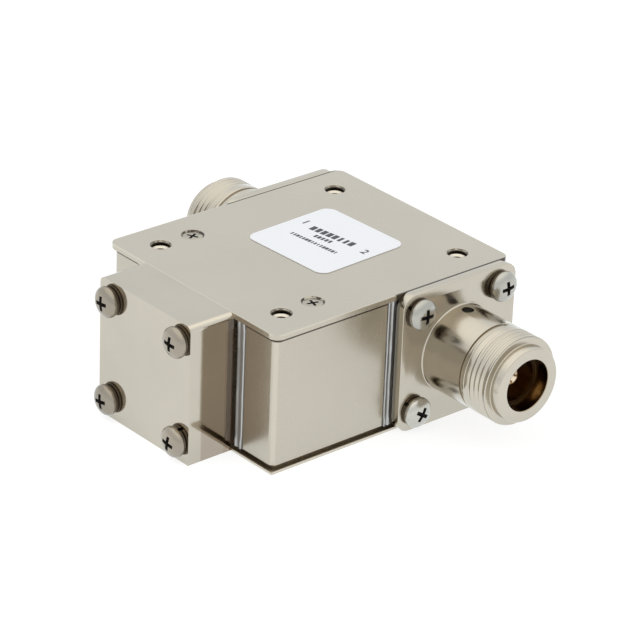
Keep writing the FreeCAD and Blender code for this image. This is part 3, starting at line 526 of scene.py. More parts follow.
# %% [markdown]
# The studio is a pale floor in a white room. Polished metal shows its surroundings more than its lamps, so
# the room is brighter for the rays that mirrors send out, and two large soft lamps give the diffuse light.
# %% Studio
FLOOR_HALF = 3.0
FLOOR_DROP = 0.02 * MM
FLOOR_SEEN = (0.8, 0.8, 0.8, 1.0)
FLOOR_MATT = (0.32, 0.32, 0.32, 1.0)
FLOOR_IN_METAL = (0.99, 1.08, 1.15, 1.0)
ROOM_SEEN = (1.02, 1.02, 1.02, 1.0)
ROOM_LIGHT = (0.6, 0.6, 0.6, 1.0)
ROOM_IN_METAL = (1.13, 1.21, 1.28, 1.0)
OVERHEAD_IN_METAL = (1.6, 1.66, 1.66, 1.0)
LAMPS = {
    "key_lamp": {"spot": (-0.4, -0.5, 0.85), "size": 1.4, "power": 6.2},
    "fill_lamp": {"spot": (0.8, 0.3, 0.7), "size": 1.0, "power": 2.8},
}


def seen_colour(paint, by_camera, by_mirror):
    """The colour for the camera and for rays from metal, and one for those rays and zero for all others."""
    rays = paint.add("ShaderNodeLightPath").outputs
    mirror = paint.clamp(Wire(paint, rays["Is Glossy Ray"]) + Wire(paint, rays["Is Transmission Ray"]))
    seen = paint.clamp(Wire(paint, rays["Is Camera Ray"]) + mirror)
    return paint.blend(mirror, by_camera, by_mirror), seen


def add_floor():
    """A wide pale floor that keeps the object's shadow under an even white."""
    mesh = bpy.data.meshes.new("floor")
    corners = [(x * FLOOR_HALF, y * FLOOR_HALF, -FLOOR_DROP) for x, y in ((-1, -1), (1, -1), (1, 1), (-1, 1))]
    mesh.from_pydata(corners, [], [(0, 1, 2, 3)])
    floor = link("floor", mesh)
    paint = new_paint("floor_pale", None)
    colour, seen = seen_colour(paint, FLOOR_SEEN, FLOOR_IN_METAL)
    matt = paint.add("ShaderNodeBsdfDiffuse", {"Color": FLOOR_MATT})
    glow = paint.add("ShaderNodeEmission", {"Color": colour, "Strength": seen})
    paint.shader = paint.add("ShaderNodeAddShader")
    paint.tree.links.new(matt.outputs[0], paint.shader.inputs[0])
    paint.tree.links.new(glow.outputs[0], paint.shader.inputs[1])
    mesh.materials.append(paint.finish())


def add_room():
    """White for the camera, brighter overhead for mirror rays, a plain lower level for the diffuse light."""
    world = bpy.data.worlds.new("room")
    bpy.context.scene.world = world
    world.use_nodes = True
    paint = Paint(world, None)
    height = paint.split(paint.wire("ShaderNodeTexCoord", output="Generated"))[2]
    mirrored = paint.blend(paint.above(height, 0.5, 0.8), ROOM_IN_METAL, OVERHEAD_IN_METAL)
    colour, seen = seen_colour(paint, ROOM_SEEN, mirrored)
    colour = paint.blend(seen, ROOM_LIGHT, colour)
    room = paint.add("ShaderNodeBackground", {"Color": colour, "Strength": 1.0})
    output = paint.add("ShaderNodeOutputWorld")
    paint.tree.links.new(room.outputs[0], output.inputs["Surface"])


def add_lamp(name, spot, size, power):
    """A large soft lamp aimed at the object, which metal doesn't mirror, as if it stood behind a diffuser."""
    lamp = link(name, set_up(bpy.data.lights.new(name, "AREA"), shape="DISK", size=size, energy=power))
    lamp.location = spot
    lamp.visible_glossy = False
    lamp.rotation_euler = (CAMERA_FOCUS - Vector(spot)).to_track_quat("-Z", "Y").to_euler()


add_floor()
add_room()
for name, lamp in LAMPS.items():
    add_lamp(name, **lamp)
bpy.context.scene.view_settings.view_transform = "Standard"
print("studio: floor, room and", len(bpy.data.lights), "lamps")

# %% [markdown]
# A piece that takes a CAD node's place is a plain mesh at the origin. One helper hands such a piece over, with
# the body it rides on and the nodes it stands for. The others do the steps that come back below: welding,
# lofting, cutting and working modifiers into the mesh.
# %% Helpers for pieces
WELD = 0.0005 * MM
FINE_WELD = 0.0001 * MM


def as_object(name, mesh, material=None):
    if material:
        mesh.materials.clear()
        mesh.materials.append(material)
    return link(name, mesh)


def hand_over(piece, slot_name, *stands_for):
    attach(piece, "root")
    if stands_for:
        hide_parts(*stands_for)


def worked_mesh(host, keep=False):
    """The plain mesh that a curve, text or modifiers make. The object is removed, unless it is kept."""
    graph = bpy.context.evaluated_depsgraph_get()
    mesh = bpy.data.meshes.new_from_object(host.evaluated_get(graph))
    mesh.name = host.name
    if not keep:
        bpy.data.objects.remove(host)
    return mesh


def modify(piece, kind, **settings):
    return set_up(piece.modifiers.new(kind.lower(), kind), **settings)


def bake(piece):
    """Works the modifiers of a piece into its mesh."""
    mesh = worked_mesh(piece, keep=True)
    piece.modifiers.clear()
    piece.data = mesh


def smooth(mesh, angle=35):
    mesh.shade_smooth()
    mesh.set_sharp_from_angle(angle=math.radians(angle))


def write_shape(shape, mesh, outward=True):
    """Turns the faces outward, writes the shape to the mesh and frees it."""
    if outward:
        bmesh.ops.recalc_face_normals(shape, faces=shape.faces)
    shape.to_mesh(mesh)
    shape.free()
    return mesh


def merged(mesh):
    """A shape from a mesh whose corners are welded."""
    shape = bmesh.new()
    shape.from_mesh(mesh)
    bmesh.ops.remove_doubles(shape, verts=shape.verts, dist=WELD)
    return shape


def join_meshes(name, meshes, merge=WELD):
    """Several meshes as one, with shared edges welded."""
    shape = bmesh.new()
    for mesh in meshes:
        shape.from_mesh(mesh)
    bmesh.ops.remove_doubles(shape, verts=shape.verts, dist=merge)
    joined = bpy.data.meshes.new(name)
    for material in meshes[0].materials:
        joined.materials.append(material)
    return write_shape(shape, joined)


def loft(name, sections):
    """A closed mesh over sections that have the same number of points."""
    shape = bmesh.new()
    rings = [[shape.verts.new(point) for point in section] for section in sections]
    for here, following in zip(rings, rings[1:]):
        for index in range(len(here)):
            beyond = (index + 1) % len(here)
            shape.faces.new((here[index], here[beyond], following[beyond], following[index]))
    shape.faces.new(rings[0])
    shape.faces.new(list(reversed(rings[-1])))
    return write_shape(shape, bpy.data.meshes.new(name))


print("piece helpers ready")

# %% [markdown]
# Sheet metal never has a knife edge: shearing and plating leave a small round that catches a line of light.
# The CAD pieces have the right shape with sharp edges, so a merged copy of each gets a fine bevel.
# %% Sheet pieces with eased edges
def eased_copy(node, slot_name, material, ease, steps=2):
    """A copy of a CAD node whose edges are rounded by a small bevel."""
    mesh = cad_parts[node].data.copy()
    shape = merged(mesh)
    bmesh.ops.dissolve_limit(
        shape, angle_limit=math.radians(0.5), verts=shape.verts, edges=shape.edges, use_dissolve_boundaries=False
    )
    piece = as_object(node + "_eased", write_shape(shape, mesh), material)
    modify(piece, "BEVEL", width=ease, segments=steps, limit_method="ANGLE", angle_limit=math.radians(30),
           use_clamp_overlap=True, miter_outer="MITER_ARC")
    bake(piece)
    smooth(piece.data)
    modify(piece, "WEIGHTED_NORMAL", keep_sharp=True)
    bake(piece)
    hand_over(piece, slot_name, node)


eased_copy("top_plate", "plate_nickel", plate_finish, 0.22 * MM, 3)
eased_copy("base_plate", "plate_nickel", base_finish, 0.08 * MM)
for shield in ("front_right_shield", "front_left_shield", "rear_shield"):
    eased_copy(shield, "shield_nickel", wall_finish, 0.08 * MM)
print("sheet pieces eased")

# %% [markdown]
# The jack shell is turned from bar with its square flange. The flange is a flat outline with five holes, which
# a 2D curve fills, thickens and rounds in one go. The rest is a turned profile, closed round the bore.
# %% Jack values and turning
HALF_X = 22.35 * MM
FLANGE_HALF = 12.7 * MM
FLANGE_THICK = 1.8 * MM
FLANGE_CORNER = 2.5 * MM
FLANGE_FILLET = 0.25 * MM
SCREW_HALF_PITCH = 9.15 * MM
SCREW_HOLE = 1.62 * MM
BARREL_RADIUS = 7.9 * MM
BARREL_ROOT = BARREL_RADIUS - 0.4 * MM
THREAD_RADIUS = 7.94 * MM
THREAD_DEPTH = 0.36 * MM
THREAD_PITCH = 1.058 * MM
RELIEF_START = 10.95 * MM
RELIEF_DEPTH = 0.3 * MM
RELIEF_SLOPE = 0.08 * MM
LAND_START = 11.5 * MM
LAND_LINE = 12.1 * MM
LINE_HALF = 0.1 * MM
LINE_DEPTH = 0.12 * MM
THREAD_FROM = 13.1 * MM
THREAD_TO = 16.95 * MM
LAND_END = 17.15 * MM
LAND_ROUND = 0.22 * MM
PILOT_RADIUS = 6.65 * MM
PILOT_FILLET = 0.15 * MM
PILOT_ROUND = 0.28 * MM
JACK_LENGTH = 19.15 * MM
MOUTH_DEPTH = 3.0 * MM
MOUTH_TAPER = 0.08 * MM
MOUTH_ROUND = 0.2 * MM
EASE = 0.12 * MM
FILL_HOLE_AT = 3.85 * MM
FILL_HOLE_RADIUS = 1.05 * MM
DRILL_FROM = 3.0 * MM
DRILL_LENGTH = 6.0 * MM
TURN_STEPS = 144


def lathe(profile, steps=TURN_STEPS, closed=True):
    """A shape turned about X from (x, radius) points, closed back on itself."""
    shape = bmesh.new()
    rings = []
    for step in range(steps):
        angle = 2 * math.pi * step / steps
        rings.append([
            shape.verts.new((x, radius * math.cos(angle), radius * math.sin(angle))) for x, radius in profile
        ])
    count = len(profile)
    for here, following in zip(rings, rings[1:] + rings[:1]):
        for index in range(count if closed else count - 1):
            beyond = (index + 1) % count
            shape.faces.new((here[index], here[beyond], following[beyond], following[index]))
    bmesh.ops.remove_doubles(shape, verts=shape.verts, dist=FINE_WELD)
    bmesh.ops.recalc_face_normals(shape, faces=shape.faces)
    return shape


def arc(centre_x, centre_y, radius, start, stop, steps=4):
    """Points on a part of a circle, angles in degrees."""
    angles = [math.radians(start + (stop - start) * step / steps) for step in range(steps + 1)]
    return [(centre_x + radius * math.cos(angle), centre_y + radius * math.sin(angle)) for angle in angles]


print("jack values set, thread turns:", round((THREAD_TO - THREAD_FROM) / THREAD_PITCH, 1))

# %% [markdown]
# The coupling thread is a ridge that winds round the shell. Geometry Nodes make it as a grid that is rolled into
# a tube, whose radius falls and rises with the distance along the helix and fades out at both ends.
# %% Thread by Geometry Nodes
THREAD_ROWS = 97
THREAD_FADE = 0.7 * THREAD_PITCH
GROOVE_START = 0.1
GROOVE_FULL = 0.88


class Recipe:
    """A Geometry Nodes tree with named inputs, and operators on its sockets through the same wires."""

    def __init__(self, name, **sizes):
        self.tree = bpy.data.node_groups.new(name, "GeometryNodeTree")
        self.sockets = {}
        self.tree.interface.new_socket("Geometry", in_out="INPUT", socket_type="NodeSocketGeometry")
        for label, kind in sizes.items():
            made = self.tree.interface.new_socket(label, in_out="INPUT", socket_type="NodeSocket" + kind)
            self.sockets[label] = made.identifier
        self.tree.interface.new_socket("Geometry", in_out="OUTPUT", socket_type="NodeSocketGeometry")
        self.given = self.tree.nodes.new("NodeGroupInput")
        self.result = self.tree.nodes.new("NodeGroupOutput")

    feed = Paint.feed
    add = Paint.add
    wire = Paint.wire
    math = Paint.math
    split = Paint.split

    def size(self, label):
        return Wire(self, self.given.outputs[label])

    def vector(self, **parts):
        return self.wire("ShaderNodeCombineXYZ", parts)

    def chance(self, low, high):
        """A random number for each copy, from the seed that the tree is given."""
        inputs = {"Seed": self.size("Seed"), 2: low, 3: high}
        return self.wire("FunctionNodeRandomValue", inputs, 1, data_type="FLOAT")

    def place(self, geometry, position):
        inputs = {"Geometry": geometry, "Position": position}
        return self.wire("GeometryNodeSetPosition", inputs)

    def paint_result(self, geometry, material, **selection):
        """Makes the copies real, gives them their metal or ink and hands them out."""
        real = self.wire("GeometryNodeRealizeInstances", {"Geometry": geometry})
        inputs = {"Geometry": real, "Material": material, **selection}
        self.feed(self.result.inputs["Geometry"], self.wire("GeometryNodeSetMaterial", inputs))

    def grow(self, name, **values):
        """Runs the tree on a new object and returns the plain mesh."""
        host = as_object(name, bpy.data.meshes.new(name))
        modifier = modify(host, "NODES", node_group=self.tree)
        for label, value in values.items():
            modifier[self.sockets[label]] = value
        return worked_mesh(host)


def thread_recipe():
    """A tube along X whose radius follows a helical saw of ridges."""
    recipe = Recipe("coupling_thread", Crest="Float", Depth="Float", Pitch="Float", Start="Float",
                    Length="Float", Fade="Float", Metal="Material")
    corners = {"Size X": 1.0, "Size Y": 1.0, "Vertices X": THREAD_ROWS, "Vertices Y": TURN_STEPS + 1}
    grid = recipe.wire("GeometryNodeMeshGrid", corners)
    x, y, z = recipe.split(recipe.wire("GeometryNodeInputPosition"))
    around = y + 0.5
    reach = (x + 0.5) * recipe.size("Length")
    turns = reach / recipe.size("Pitch") - around
    wave = {"Value": recipe.math("PINGPONG", turns, 0.5) * 2.0, "From Min": GROOVE_START, "From Max": GROOVE_FULL}
    groove = recipe.wire("ShaderNodeMapRange", wave, interpolation_type="SMOOTHSTEP")
    fade = recipe.size("Fade")
    lead = recipe.wire("ShaderNodeClamp", {"Value": reach / fade})
    tail = recipe.wire("ShaderNodeClamp", {"Value": (recipe.size("Length") - reach) / fade})
    radius = recipe.size("Crest") - groove * lead * tail * recipe.size("Depth")
    angle = around * (2 * math.pi)
    y, z = radius * recipe.math("COSINE", angle), radius * recipe.math("SINE", angle)
    moved = recipe.place(grid, recipe.vector(X=reach + recipe.size("Start"), Y=y, Z=z))
    joined = recipe.wire("GeometryNodeMergeByDistance", {"Geometry": moved, "Distance": FINE_WELD})
    recipe.paint_result(joined, recipe.size("Metal"))
    return recipe


thread_mesh = thread_recipe().grow(
    "thread", Crest=THREAD_RADIUS, Depth=THREAD_DEPTH, Pitch=THREAD_PITCH, Start=THREAD_FROM,
    Length=THREAD_TO - THREAD_FROM, Fade=THREAD_FADE, Metal=turned_finish,
)
print("thread faces:", len(thread_mesh.polygons))

# %% [markdown]
# The shell's profile runs from the flange along the barrel, over the relief and the plain land before the
# thread, past the thread, over the pilot and back through the bore. The thread's tube closes the gap in it.
# %% Turned shell and flange
def shell_profile():
    """The outline of a jack from the back of the flange round to the bore."""
    root = BARREL_RADIUS + FLANGE_FILLET
    relief = THREAD_RADIUS - RELIEF_DEPTH
    shoulder = PILOT_RADIUS + PILOT_FILLET
    points = [(0.0, BARREL_ROOT), (FLANGE_THICK * 0.5, BARREL_ROOT)]
    points += [(FLANGE_THICK * 0.5, root), (FLANGE_THICK, root)]
    points += arc(FLANGE_THICK + FLANGE_FILLET, root, FLANGE_FILLET, 180, 270)
    points += [(RELIEF_START - 0.5 * MM, BARREL_RADIUS), (RELIEF_START - RELIEF_SLOPE, BARREL_RADIUS)]
    points += [(RELIEF_START, relief), (LAND_START, relief)]
    points += arc(LAND_START + EASE, THREAD_RADIUS - EASE, EASE, 180, 90)
    points += [(LAND_LINE - LINE_HALF, THREAD_RADIUS), (LAND_LINE, THREAD_RADIUS - LINE_DEPTH)]
    points += [(LAND_LINE + LINE_HALF, THREAD_RADIUS), (THREAD_FROM, THREAD_RADIUS), (THREAD_TO, THREAD_RADIUS)]
    points += arc(LAND_END - LAND_ROUND, THREAD_RADIUS - LAND_ROUND, LAND_ROUND, 90, 0)
    points += [(LAND_END, shoulder)] + arc(LAND_END + PILOT_FILLET, shoulder, PILOT_FILLET, 180, 270)
    points += arc(JACK_LENGTH - PILOT_ROUND, PILOT_RADIUS - PILOT_ROUND, PILOT_ROUND, 90, 0)
    points += arc(JACK_LENGTH - MOUTH_ROUND, MOUTH_RADIUS + MOUTH_ROUND, MOUTH_ROUND, 0, -90)
    points += [(JACK_LENGTH - MOUTH_DEPTH, MOUTH_RADIUS)]
    return points + [(JACK_LENGTH - MOUTH_DEPTH - MOUTH_TAPER, BORE_RADIUS), (0.0, BORE_RADIUS)]


def in_thread(face):
    """Whether a face of the turned shell lies where the thread's tube goes."""
    along = [corner.co.x for corner in face.verts]
    radii = [corner.co.yz.length for corner in face.verts]
    outside = min(radii) > PILOT_RADIUS + 0.5 * MM
    return outside and min(along) > THREAD_FROM - EASE and max(along) < THREAD_TO + EASE


def shell_mesh():
    """The barrel, lands, pilot and bore, open where the thread's tube joins."""
    shape = lathe(shell_profile())
    gap = [face for face in shape.faces if in_thread(face)]
    bmesh.ops.delete(shape, geom=gap, context="FACES")
    return write_shape(shape, bpy.data.meshes.new("shell"), False)


def add_loop(curve, points):
    """A closed outline of straight pieces on a 2D curve."""
    loop = curve.splines.new("POLY")
    loop.points.add(len(points) - 1)
    for point, (x, y) in zip(loop.points, points):
        point.co = (x, y, 0, 1)
    loop.use_cyclic_u = True


def circle_points(x, y, radius, steps=48):
    angles = [2 * math.pi * step / steps for step in range(steps)]
    return [(x + radius * math.cos(angle), y + radius * math.sin(angle)) for angle in angles]


def rounded_square(half, corner):
    points = []
    middle = half - corner
    for sx, sy, start in ((1, 1, 0), (-1, 1, 90), (-1, -1, 180), (1, -1, 270)):
        points += arc(sx * middle, sy * middle, corner, start, start + 90, 8)
    return points


def flange_mesh():
    """The square flange with its four screw holes, in the YZ plane with its back at zero."""
    curve = set_up(bpy.data.curves.new("flange", "CURVE"), dimensions="2D", fill_mode="BOTH",
                   extrude=FLANGE_THICK / 2 - EASE, bevel_depth=EASE, bevel_resolution=2, offset=-EASE)
    add_loop(curve, rounded_square(FLANGE_HALF, FLANGE_CORNER))
    add_loop(curve, circle_points(0, 0, BARREL_RADIUS - 0.2 * MM, 96))
    for sx in (-1, 1):
        for sy in (-1, 1):
            add_loop(curve, circle_points(sx * SCREW_HALF_PITCH, sy * SCREW_HALF_PITCH, SCREW_HOLE))
    mesh = worked_mesh(link("flange", curve))
    stand = Matrix(((0, 0, 1), (1, 0, 0), (0, 1, 0))).to_4x4()
    mesh.transform(Matrix.Translation((FLANGE_THICK / 2, 0, 0)) @ stand)
    return mesh


def drilled_shell():
    """The shell with its thread, and the small hole for the epoxy drilled from the top."""
    piece = as_object("shell", join_meshes("shell", [shell_mesh(), thread_mesh], 0.02 * MM))
    profile = [(0.0, FINE_WELD), (0.0, FILL_HOLE_RADIUS)]
    drill = lathe(profile + [(DRILL_LENGTH, FILL_HOLE_RADIUS), (DRILL_LENGTH, FINE_WELD)], 32, False)
    bmesh.ops.holes_fill(drill, edges=drill.edges)
    bit_mesh = write_shape(drill, bpy.data.meshes.new("drill"), False)
    bit_mesh.transform(Matrix.Translation((FILL_HOLE_AT, 0, DRILL_FROM)) @ Matrix.Rotation(-math.pi / 2, 4, "Y"))
    bit = as_object("drill", bit_mesh)
    modify(piece, "BOOLEAN", object=bit, operation="DIFFERENCE", solver="EXACT")
    mesh = worked_mesh(piece)
    bpy.data.objects.remove(bit)
    return mesh


PORT_2 = Matrix.Translation((HALF_X, JACK_Y, AXIS_Z))
PORT_1 = Matrix.Translation((-HALF_X, JACK_Y, AXIS_Z)) @ Matrix.Rotation(math.pi, 4, "Z")
PORTS = {1: PORT_1, 2: PORT_2}
shell = drilled_shell()
flange = flange_mesh()
for port, place in PORTS.items():
    mesh = join_meshes(f"port_{port}_shell", [shell, flange])
    mesh.transform(place)
    smooth(mesh, 30)
    jack = as_object(f"port_{port}_shell", mesh, turned_finish)
    hand_over(jack, "jack_nickel", f"port_{port}_jack")
print("jack faces:", len(mesh.polygons))

# %% [markdown]
# Twelve pan head screws hold the flanges and the load block. One screw is turned and its cross recess cut with
# a tapered cutter. Geometry Nodes then put a copy on each hole, each turned by chance as a hand would leave it.
# %% One screw and one lock washer
HEAD_RADIUS = 2.73 * MM
HEAD_HEIGHT = 1.6 * MM
HEAD_SKIRT = 0.35 * MM
SHANK_RADIUS = 1.42 * MM
SHANK_TIP = 0.3 * MM
SHORT_SHANK = 6.6 * MM
LONG_SHANK = 13.8 * MM
WASHER_THICK = 0.6 * MM
WASHER_OUTER = 2.55 * MM
WASHER_INNER = 1.55 * MM
WASHER_SOFT = 0.08 * MM
WASHER_AIR = 0.04 * MM
WASHER_LIFT = 0.05 * MM
WASHER_GAP = math.radians(13)
WASHER_STEPS = 60
CROSS_HALF = 1.48 * MM
CROSS_WIDTH = 0.7 * MM
CROSS_DEPTH = 1.05 * MM
CROSS_MOUTH = (1.12, 1.08)
CROSS_TIP = (0.42, 0.62)
CROSS_PROUD = 0.3 * MM
RIM_EASE = 0.06 * MM


def cross_outline(reach, half):
    """The corners of a cross: one arm, turned four times."""
    points = []
    arm = [(reach, -half), (reach, half), (half, half)]
    for quarter in range(4):
        points += arm
        arm = [(-y, x) for x, y in arm]
    return points


def cross_cutter(top, reach, half, depth):
    """A cross that narrows towards its tip, as a driver's point does."""
    mouth = (top + CROSS_PROUD, cross_outline(reach * CROSS_MOUTH[0], half * CROSS_MOUTH[1]))
    tip = (top - depth, cross_outline(reach * CROSS_TIP[0], half * CROSS_TIP[1]))
    return loft("cutter", [[(x, y, z) for y, z in outline] for x, outline in (mouth, tip)])


def cut_recess(name, shape, cutter_mesh, ease, metal_finish):
    """Cuts the recess from a turned head, whose recess faces take the cutter's painted shade, and eases its rim."""
    head = as_object(name, write_shape(shape, bpy.data.meshes.new(name), False), metal_finish)
    cutter = as_object("cutter", cutter_mesh, recess_shade_finish)
    modify(head, "BOOLEAN", material_mode="TRANSFER", object=cutter, operation="DIFFERENCE", solver="EXACT")
    modify(head, "BEVEL", width=ease, segments=2, limit_method="ANGLE", angle_limit=math.radians(40))
    bake(head)
    bpy.data.objects.remove(cutter)
    return head


def pan_screw(shank):
    """A pan head on its shank, with the underside of the head at zero and the axis along X."""
    rise = HEAD_HEIGHT - HEAD_SKIRT
    angles = [math.radians(angle) for angle in (0, 12, 24, 36, 47, 57, 66, 74, 82, 90)]
    dome = [(HEAD_SKIRT + rise * math.cos(angle), HEAD_RADIUS * math.sin(angle) ** 0.9) for angle in angles]
    base = [(EASE, HEAD_RADIUS), (0.0, HEAD_RADIUS - EASE), (0.0, SHANK_RADIUS)]
    tip = [(-shank + SHANK_TIP, SHANK_RADIUS), (-shank, SHANK_RADIUS - SHANK_TIP), (-shank, 0.0)]
    shape = lathe(dome + base + tip, 56, False)
    cutter = cross_cutter(HEAD_HEIGHT, CROSS_HALF, CROSS_WIDTH / 2, CROSS_DEPTH)
    return cut_recess("pan_screw", shape, cutter, RIM_EASE, screw_finish)


def washer_section(lift):
    """The square wire with its rounded corners, as (x, radius) points."""
    low, high = WASHER_AIR + lift, WASHER_THICK - WASHER_AIR + lift
    inner, outer, soft = WASHER_INNER, WASHER_OUTER, WASHER_SOFT
    return [
        (low, inner + soft), (low + soft, inner), (high - soft, inner), (high, inner + soft),
        (high, outer - soft), (high - soft, outer), (low + soft, outer), (low, outer - soft),
    ]


def lock_washer():
    """A split ring of square wire whose two ends stand a little apart."""
    sections = []
    for step in range(WASHER_STEPS + 1):
        share = step / WASHER_STEPS
        angle = WASHER_GAP / 2 + (2 * math.pi - WASHER_GAP) * share
        section = washer_section(WASHER_LIFT * (2 * share - 1))
        sections.append([(x, r * math.cos(angle), r * math.sin(angle)) for x, r in section])
    return as_object("lock_washer", loft("lock_washer", sections))


short_screw = pan_screw(SHORT_SHANK)
long_screw = pan_screw(LONG_SHANK)
washer = lock_washer()
print("screw faces:", len(short_screw.data.polygons), "washer faces:", len(washer.data.polygons))

# %% [markdown]
# The four holes of each port are the corners of a square. The tree below makes the square's points, puts the
# screw or washer on each and turns it about its own axis by a random angle with a fixed seed.
# %% Screws and washers on their holes
BLOCK_DEPTH = 9.0 * MM
FRONT_MIDDLE = (-0.4 * MM, -25.8 * MM, AXIS_Z)
FRONT = Matrix.Translation(FRONT_MIDDLE) @ Matrix.Rotation(-math.pi / 2, 4, "Z")


def pattern_recipe():
    """A copy of one object on each corner of a square pattern."""
    recipe = Recipe("square_pattern", Pitch="Float", Along="Float", Seed="Int", Piece="Object", Metal="Material")
    pitch = recipe.size("Pitch")
    corners = {"Size X": pitch, "Size Y": pitch, "Vertices X": 2, "Vertices Y": 2}
    grid = recipe.wire("GeometryNodeMeshGrid", corners)
    x, y, z = recipe.split(recipe.wire("GeometryNodeInputPosition"))
    stood = recipe.place(grid, recipe.vector(X=recipe.size("Along"), Y=x, Z=y))
    piece = recipe.wire("GeometryNodeObjectInfo", {"Object": recipe.size("Piece")}, "Geometry")
    spin = recipe.vector(X=recipe.chance(0.0, 2 * math.pi))
    copies = recipe.wire("GeometryNodeInstanceOnPoints", {"Points": stood, "Instance": piece, "Rotation": spin})
    outside = recipe.math("LESS_THAN", recipe.wire("GeometryNodeInputMaterialIndex"), 0.5)
    recipe.paint_result(copies, recipe.size("Metal"), Selection=outside)
    return recipe


def add_fasteners(name, screw, screw_metal, seat, seed, place, screw_node, washer_node):
    """Four screws on their lock washers, whose seat lies that far before the place."""
    screws = (f"{name}_screws", screw, screw_metal, seat + WASHER_THICK, seed, "screw_steel", screw_node)
    washers = (f"{name}_washers", washer, washer_finish, seat, seed + 10, "washer_steel", washer_node)
    for title, piece, metal_finish, along, chance, slot_name, node in (screws, washers):
        mesh = pattern.grow(
            title, Pitch=2 * SCREW_HALF_PITCH, Along=along, Seed=chance, Piece=piece, Metal=metal_finish
        )
        mesh.transform(place)
        smooth(mesh)
        hand_over(as_object(title, mesh), slot_name, node)


pattern = pattern_recipe()
for port, place in PORTS.items():
    name = f"port_{port}"
    add_fasteners(name, short_screw, screw_finish, FLANGE_THICK, 4 + port, place,
                  name + "_flange_screws", name + "_lock_washers")
add_fasteners("block", long_screw, block_screw_shaded_finish, BLOCK_DEPTH, 9, FRONT, "load_screws", "load_lock_washers")
for template in (short_screw, long_screw, washer):
    bpy.data.objects.remove(template)
print("screw patterns placed")

# %% [markdown]
# Tin runs up the joints between the sheets and the port bosses. Each seam was drawn along by an iron, so it is
# not quite straight, stands up in two rims with a groove between them and ends in a bead. The seams at the
# flanges lean away from them, because the flange covers part of each. Listed sections with a slow noise are
# lofted into the strips.
# %% Solder seams
SEAM_WIDTH = 1.9 * MM
SEAM_STANDS_BACK = 0.3 * MM
SEAM_DEPTH = 0.85 * 0.3 * MM
SEAM_SWAY = 0.12 * MM
SEAM_STEPS = 60
SEAM_SHOWN = 0.69
SHEET_THICK = 0.9 * MM
SEAM_SECTION = (
    (-0.97, 0.5), (-0.86, 0.9), (-0.72, 1.0), (-0.55, 0.84), (-0.3, 0.42), (0.0, 0.3), (0.3, 0.42),
    (0.55, 0.84), (0.72, 1.0), (0.86, 0.9), (0.97, 0.5),
)


def seam_section(lean):
    """The section's points. A seam that runs under a flange leans away from it, with its groove in sight."""
    if not lean:
        return SEAM_SECTION
    shown = [(lean + (across - lean) * SEAM_SHOWN, height) for across, height in SEAM_SECTION]
    hidden = [(-0.97 * lean, 0.4)]
    return hidden + shown if lean > 0 else shown + hidden


def seam_noise(seed, kind, share):
    return noise.noise(Vector((seed * 3.7, kind, share)))


def seam_mesh(name, width, low, high, seed, lean):
    """A strip along Z on the XZ plane, standing up towards +Y, centred on X."""
    sections = []
    for step in range(SEAM_STEPS + 1):
        share = step / SEAM_STEPS
        z = low + (high - low) * share
        sway = seam_noise(seed, 0.0, share * 5.0) * SEAM_SWAY
        fat = 1.0 + 0.35 * seam_noise(seed, 9.0, share * 9.0)
        foot = 0.9 * math.exp(-((share - 0.03) / 0.035) ** 2)
        bead = 1.0 + foot + 0.35 * math.exp(-((share - 0.97) / 0.03) ** 2)
        half = width / 2 * (0.94 + 0.05 * seam_noise(seed, 4.0, share * 7.0))
        depth = SEAM_DEPTH * fat * min(bead, 1.6)
        top = [
            (half * across + sway * (1 - abs(across)), depth * height) for across, height in seam_section(lean)
        ]
        section = [(-half, -SHEET_THICK), (-half, 0.0), *top, (half, 0.0), (half, -SHEET_THICK)]
        sections.append([(x, y, z) for x, y in section])
    return loft(name, sections)


def seam_places():
    """Where each seam lies: its middle, the way it faces, its width and its lean, from the sheets beside it."""
    right_low, right_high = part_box("front_right_shield")
    left_low, left_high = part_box("front_left_shield")
    rear_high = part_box("rear_shield")[1]
    side_y = right_high.y + SEAM_WIDTH / 2
    rear_x = (rear_high.x + HALF_X - SEAM_STANDS_BACK) / 2
    rear_wide = HALF_X - SEAM_STANDS_BACK - rear_high.x
    return [
        ((right_high.x, side_y), -90, SEAM_WIDTH, 1),
        ((left_low.x, side_y), 90, SEAM_WIDTH, -1),
        ((right_low.x - SEAM_WIDTH / 2, right_low.y), 180, SEAM_WIDTH, 0),
        ((left_high.x + SEAM_WIDTH / 2, left_low.y), 180, SEAM_WIDTH, 0),
        ((rear_x, rear_high.y), 0, rear_wide, 0),
        ((-rear_x, rear_high.y), 0, rear_wide, 0),
    ]


def add_seams():
    low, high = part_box("solder_seams")
    strips = []
    for index, ((x, y), turn, width, lean) in enumerate(seam_places()):
        mesh = seam_mesh(f"seam_{index}", width, low.z, high.z, index + 1, lean)
        mesh.transform(Matrix.Translation((x, y, 0)) @ Matrix.Rotation(math.radians(turn), 4, "Z"))
        strips.append(mesh)
    mesh = join_meshes("solder_strips", strips, 0.0)
    smooth(mesh, 50)
    hand_over(as_object("solder_strips", mesh, solder_finish), "solder", "solder_seams")
    return mesh


print("seam faces:", len(add_seams().polygons))

# %% [markdown]
# The load block is milled from solid, with only its two upper side edges rounded, as the CAD has them, so its
# other edges just get a fine break. The two flush screws in the cover sit in their countersinks with a thin
# dark line round them, so each is a little smaller than its seat. Their cross recess is small and worn.
# %% Load block and flush screws
FLUSH_HEAD = 1.8 * MM
FLUSH_EDGE = 0.04 * MM
FLUSH_CONE_END = 0.95 * MM
FLUSH_SUNK = 0.2 * MM
FLUSH_SHANK = 1.1 * MM
FLUSH_END = 5.9 * MM
FLUSH_CROSS = (1.2 * MM, 0.24 * MM, 0.6 * MM)
FLUSH_RIM_EASE = 0.03 * MM
FLUSH_TURNS = (25, 75)


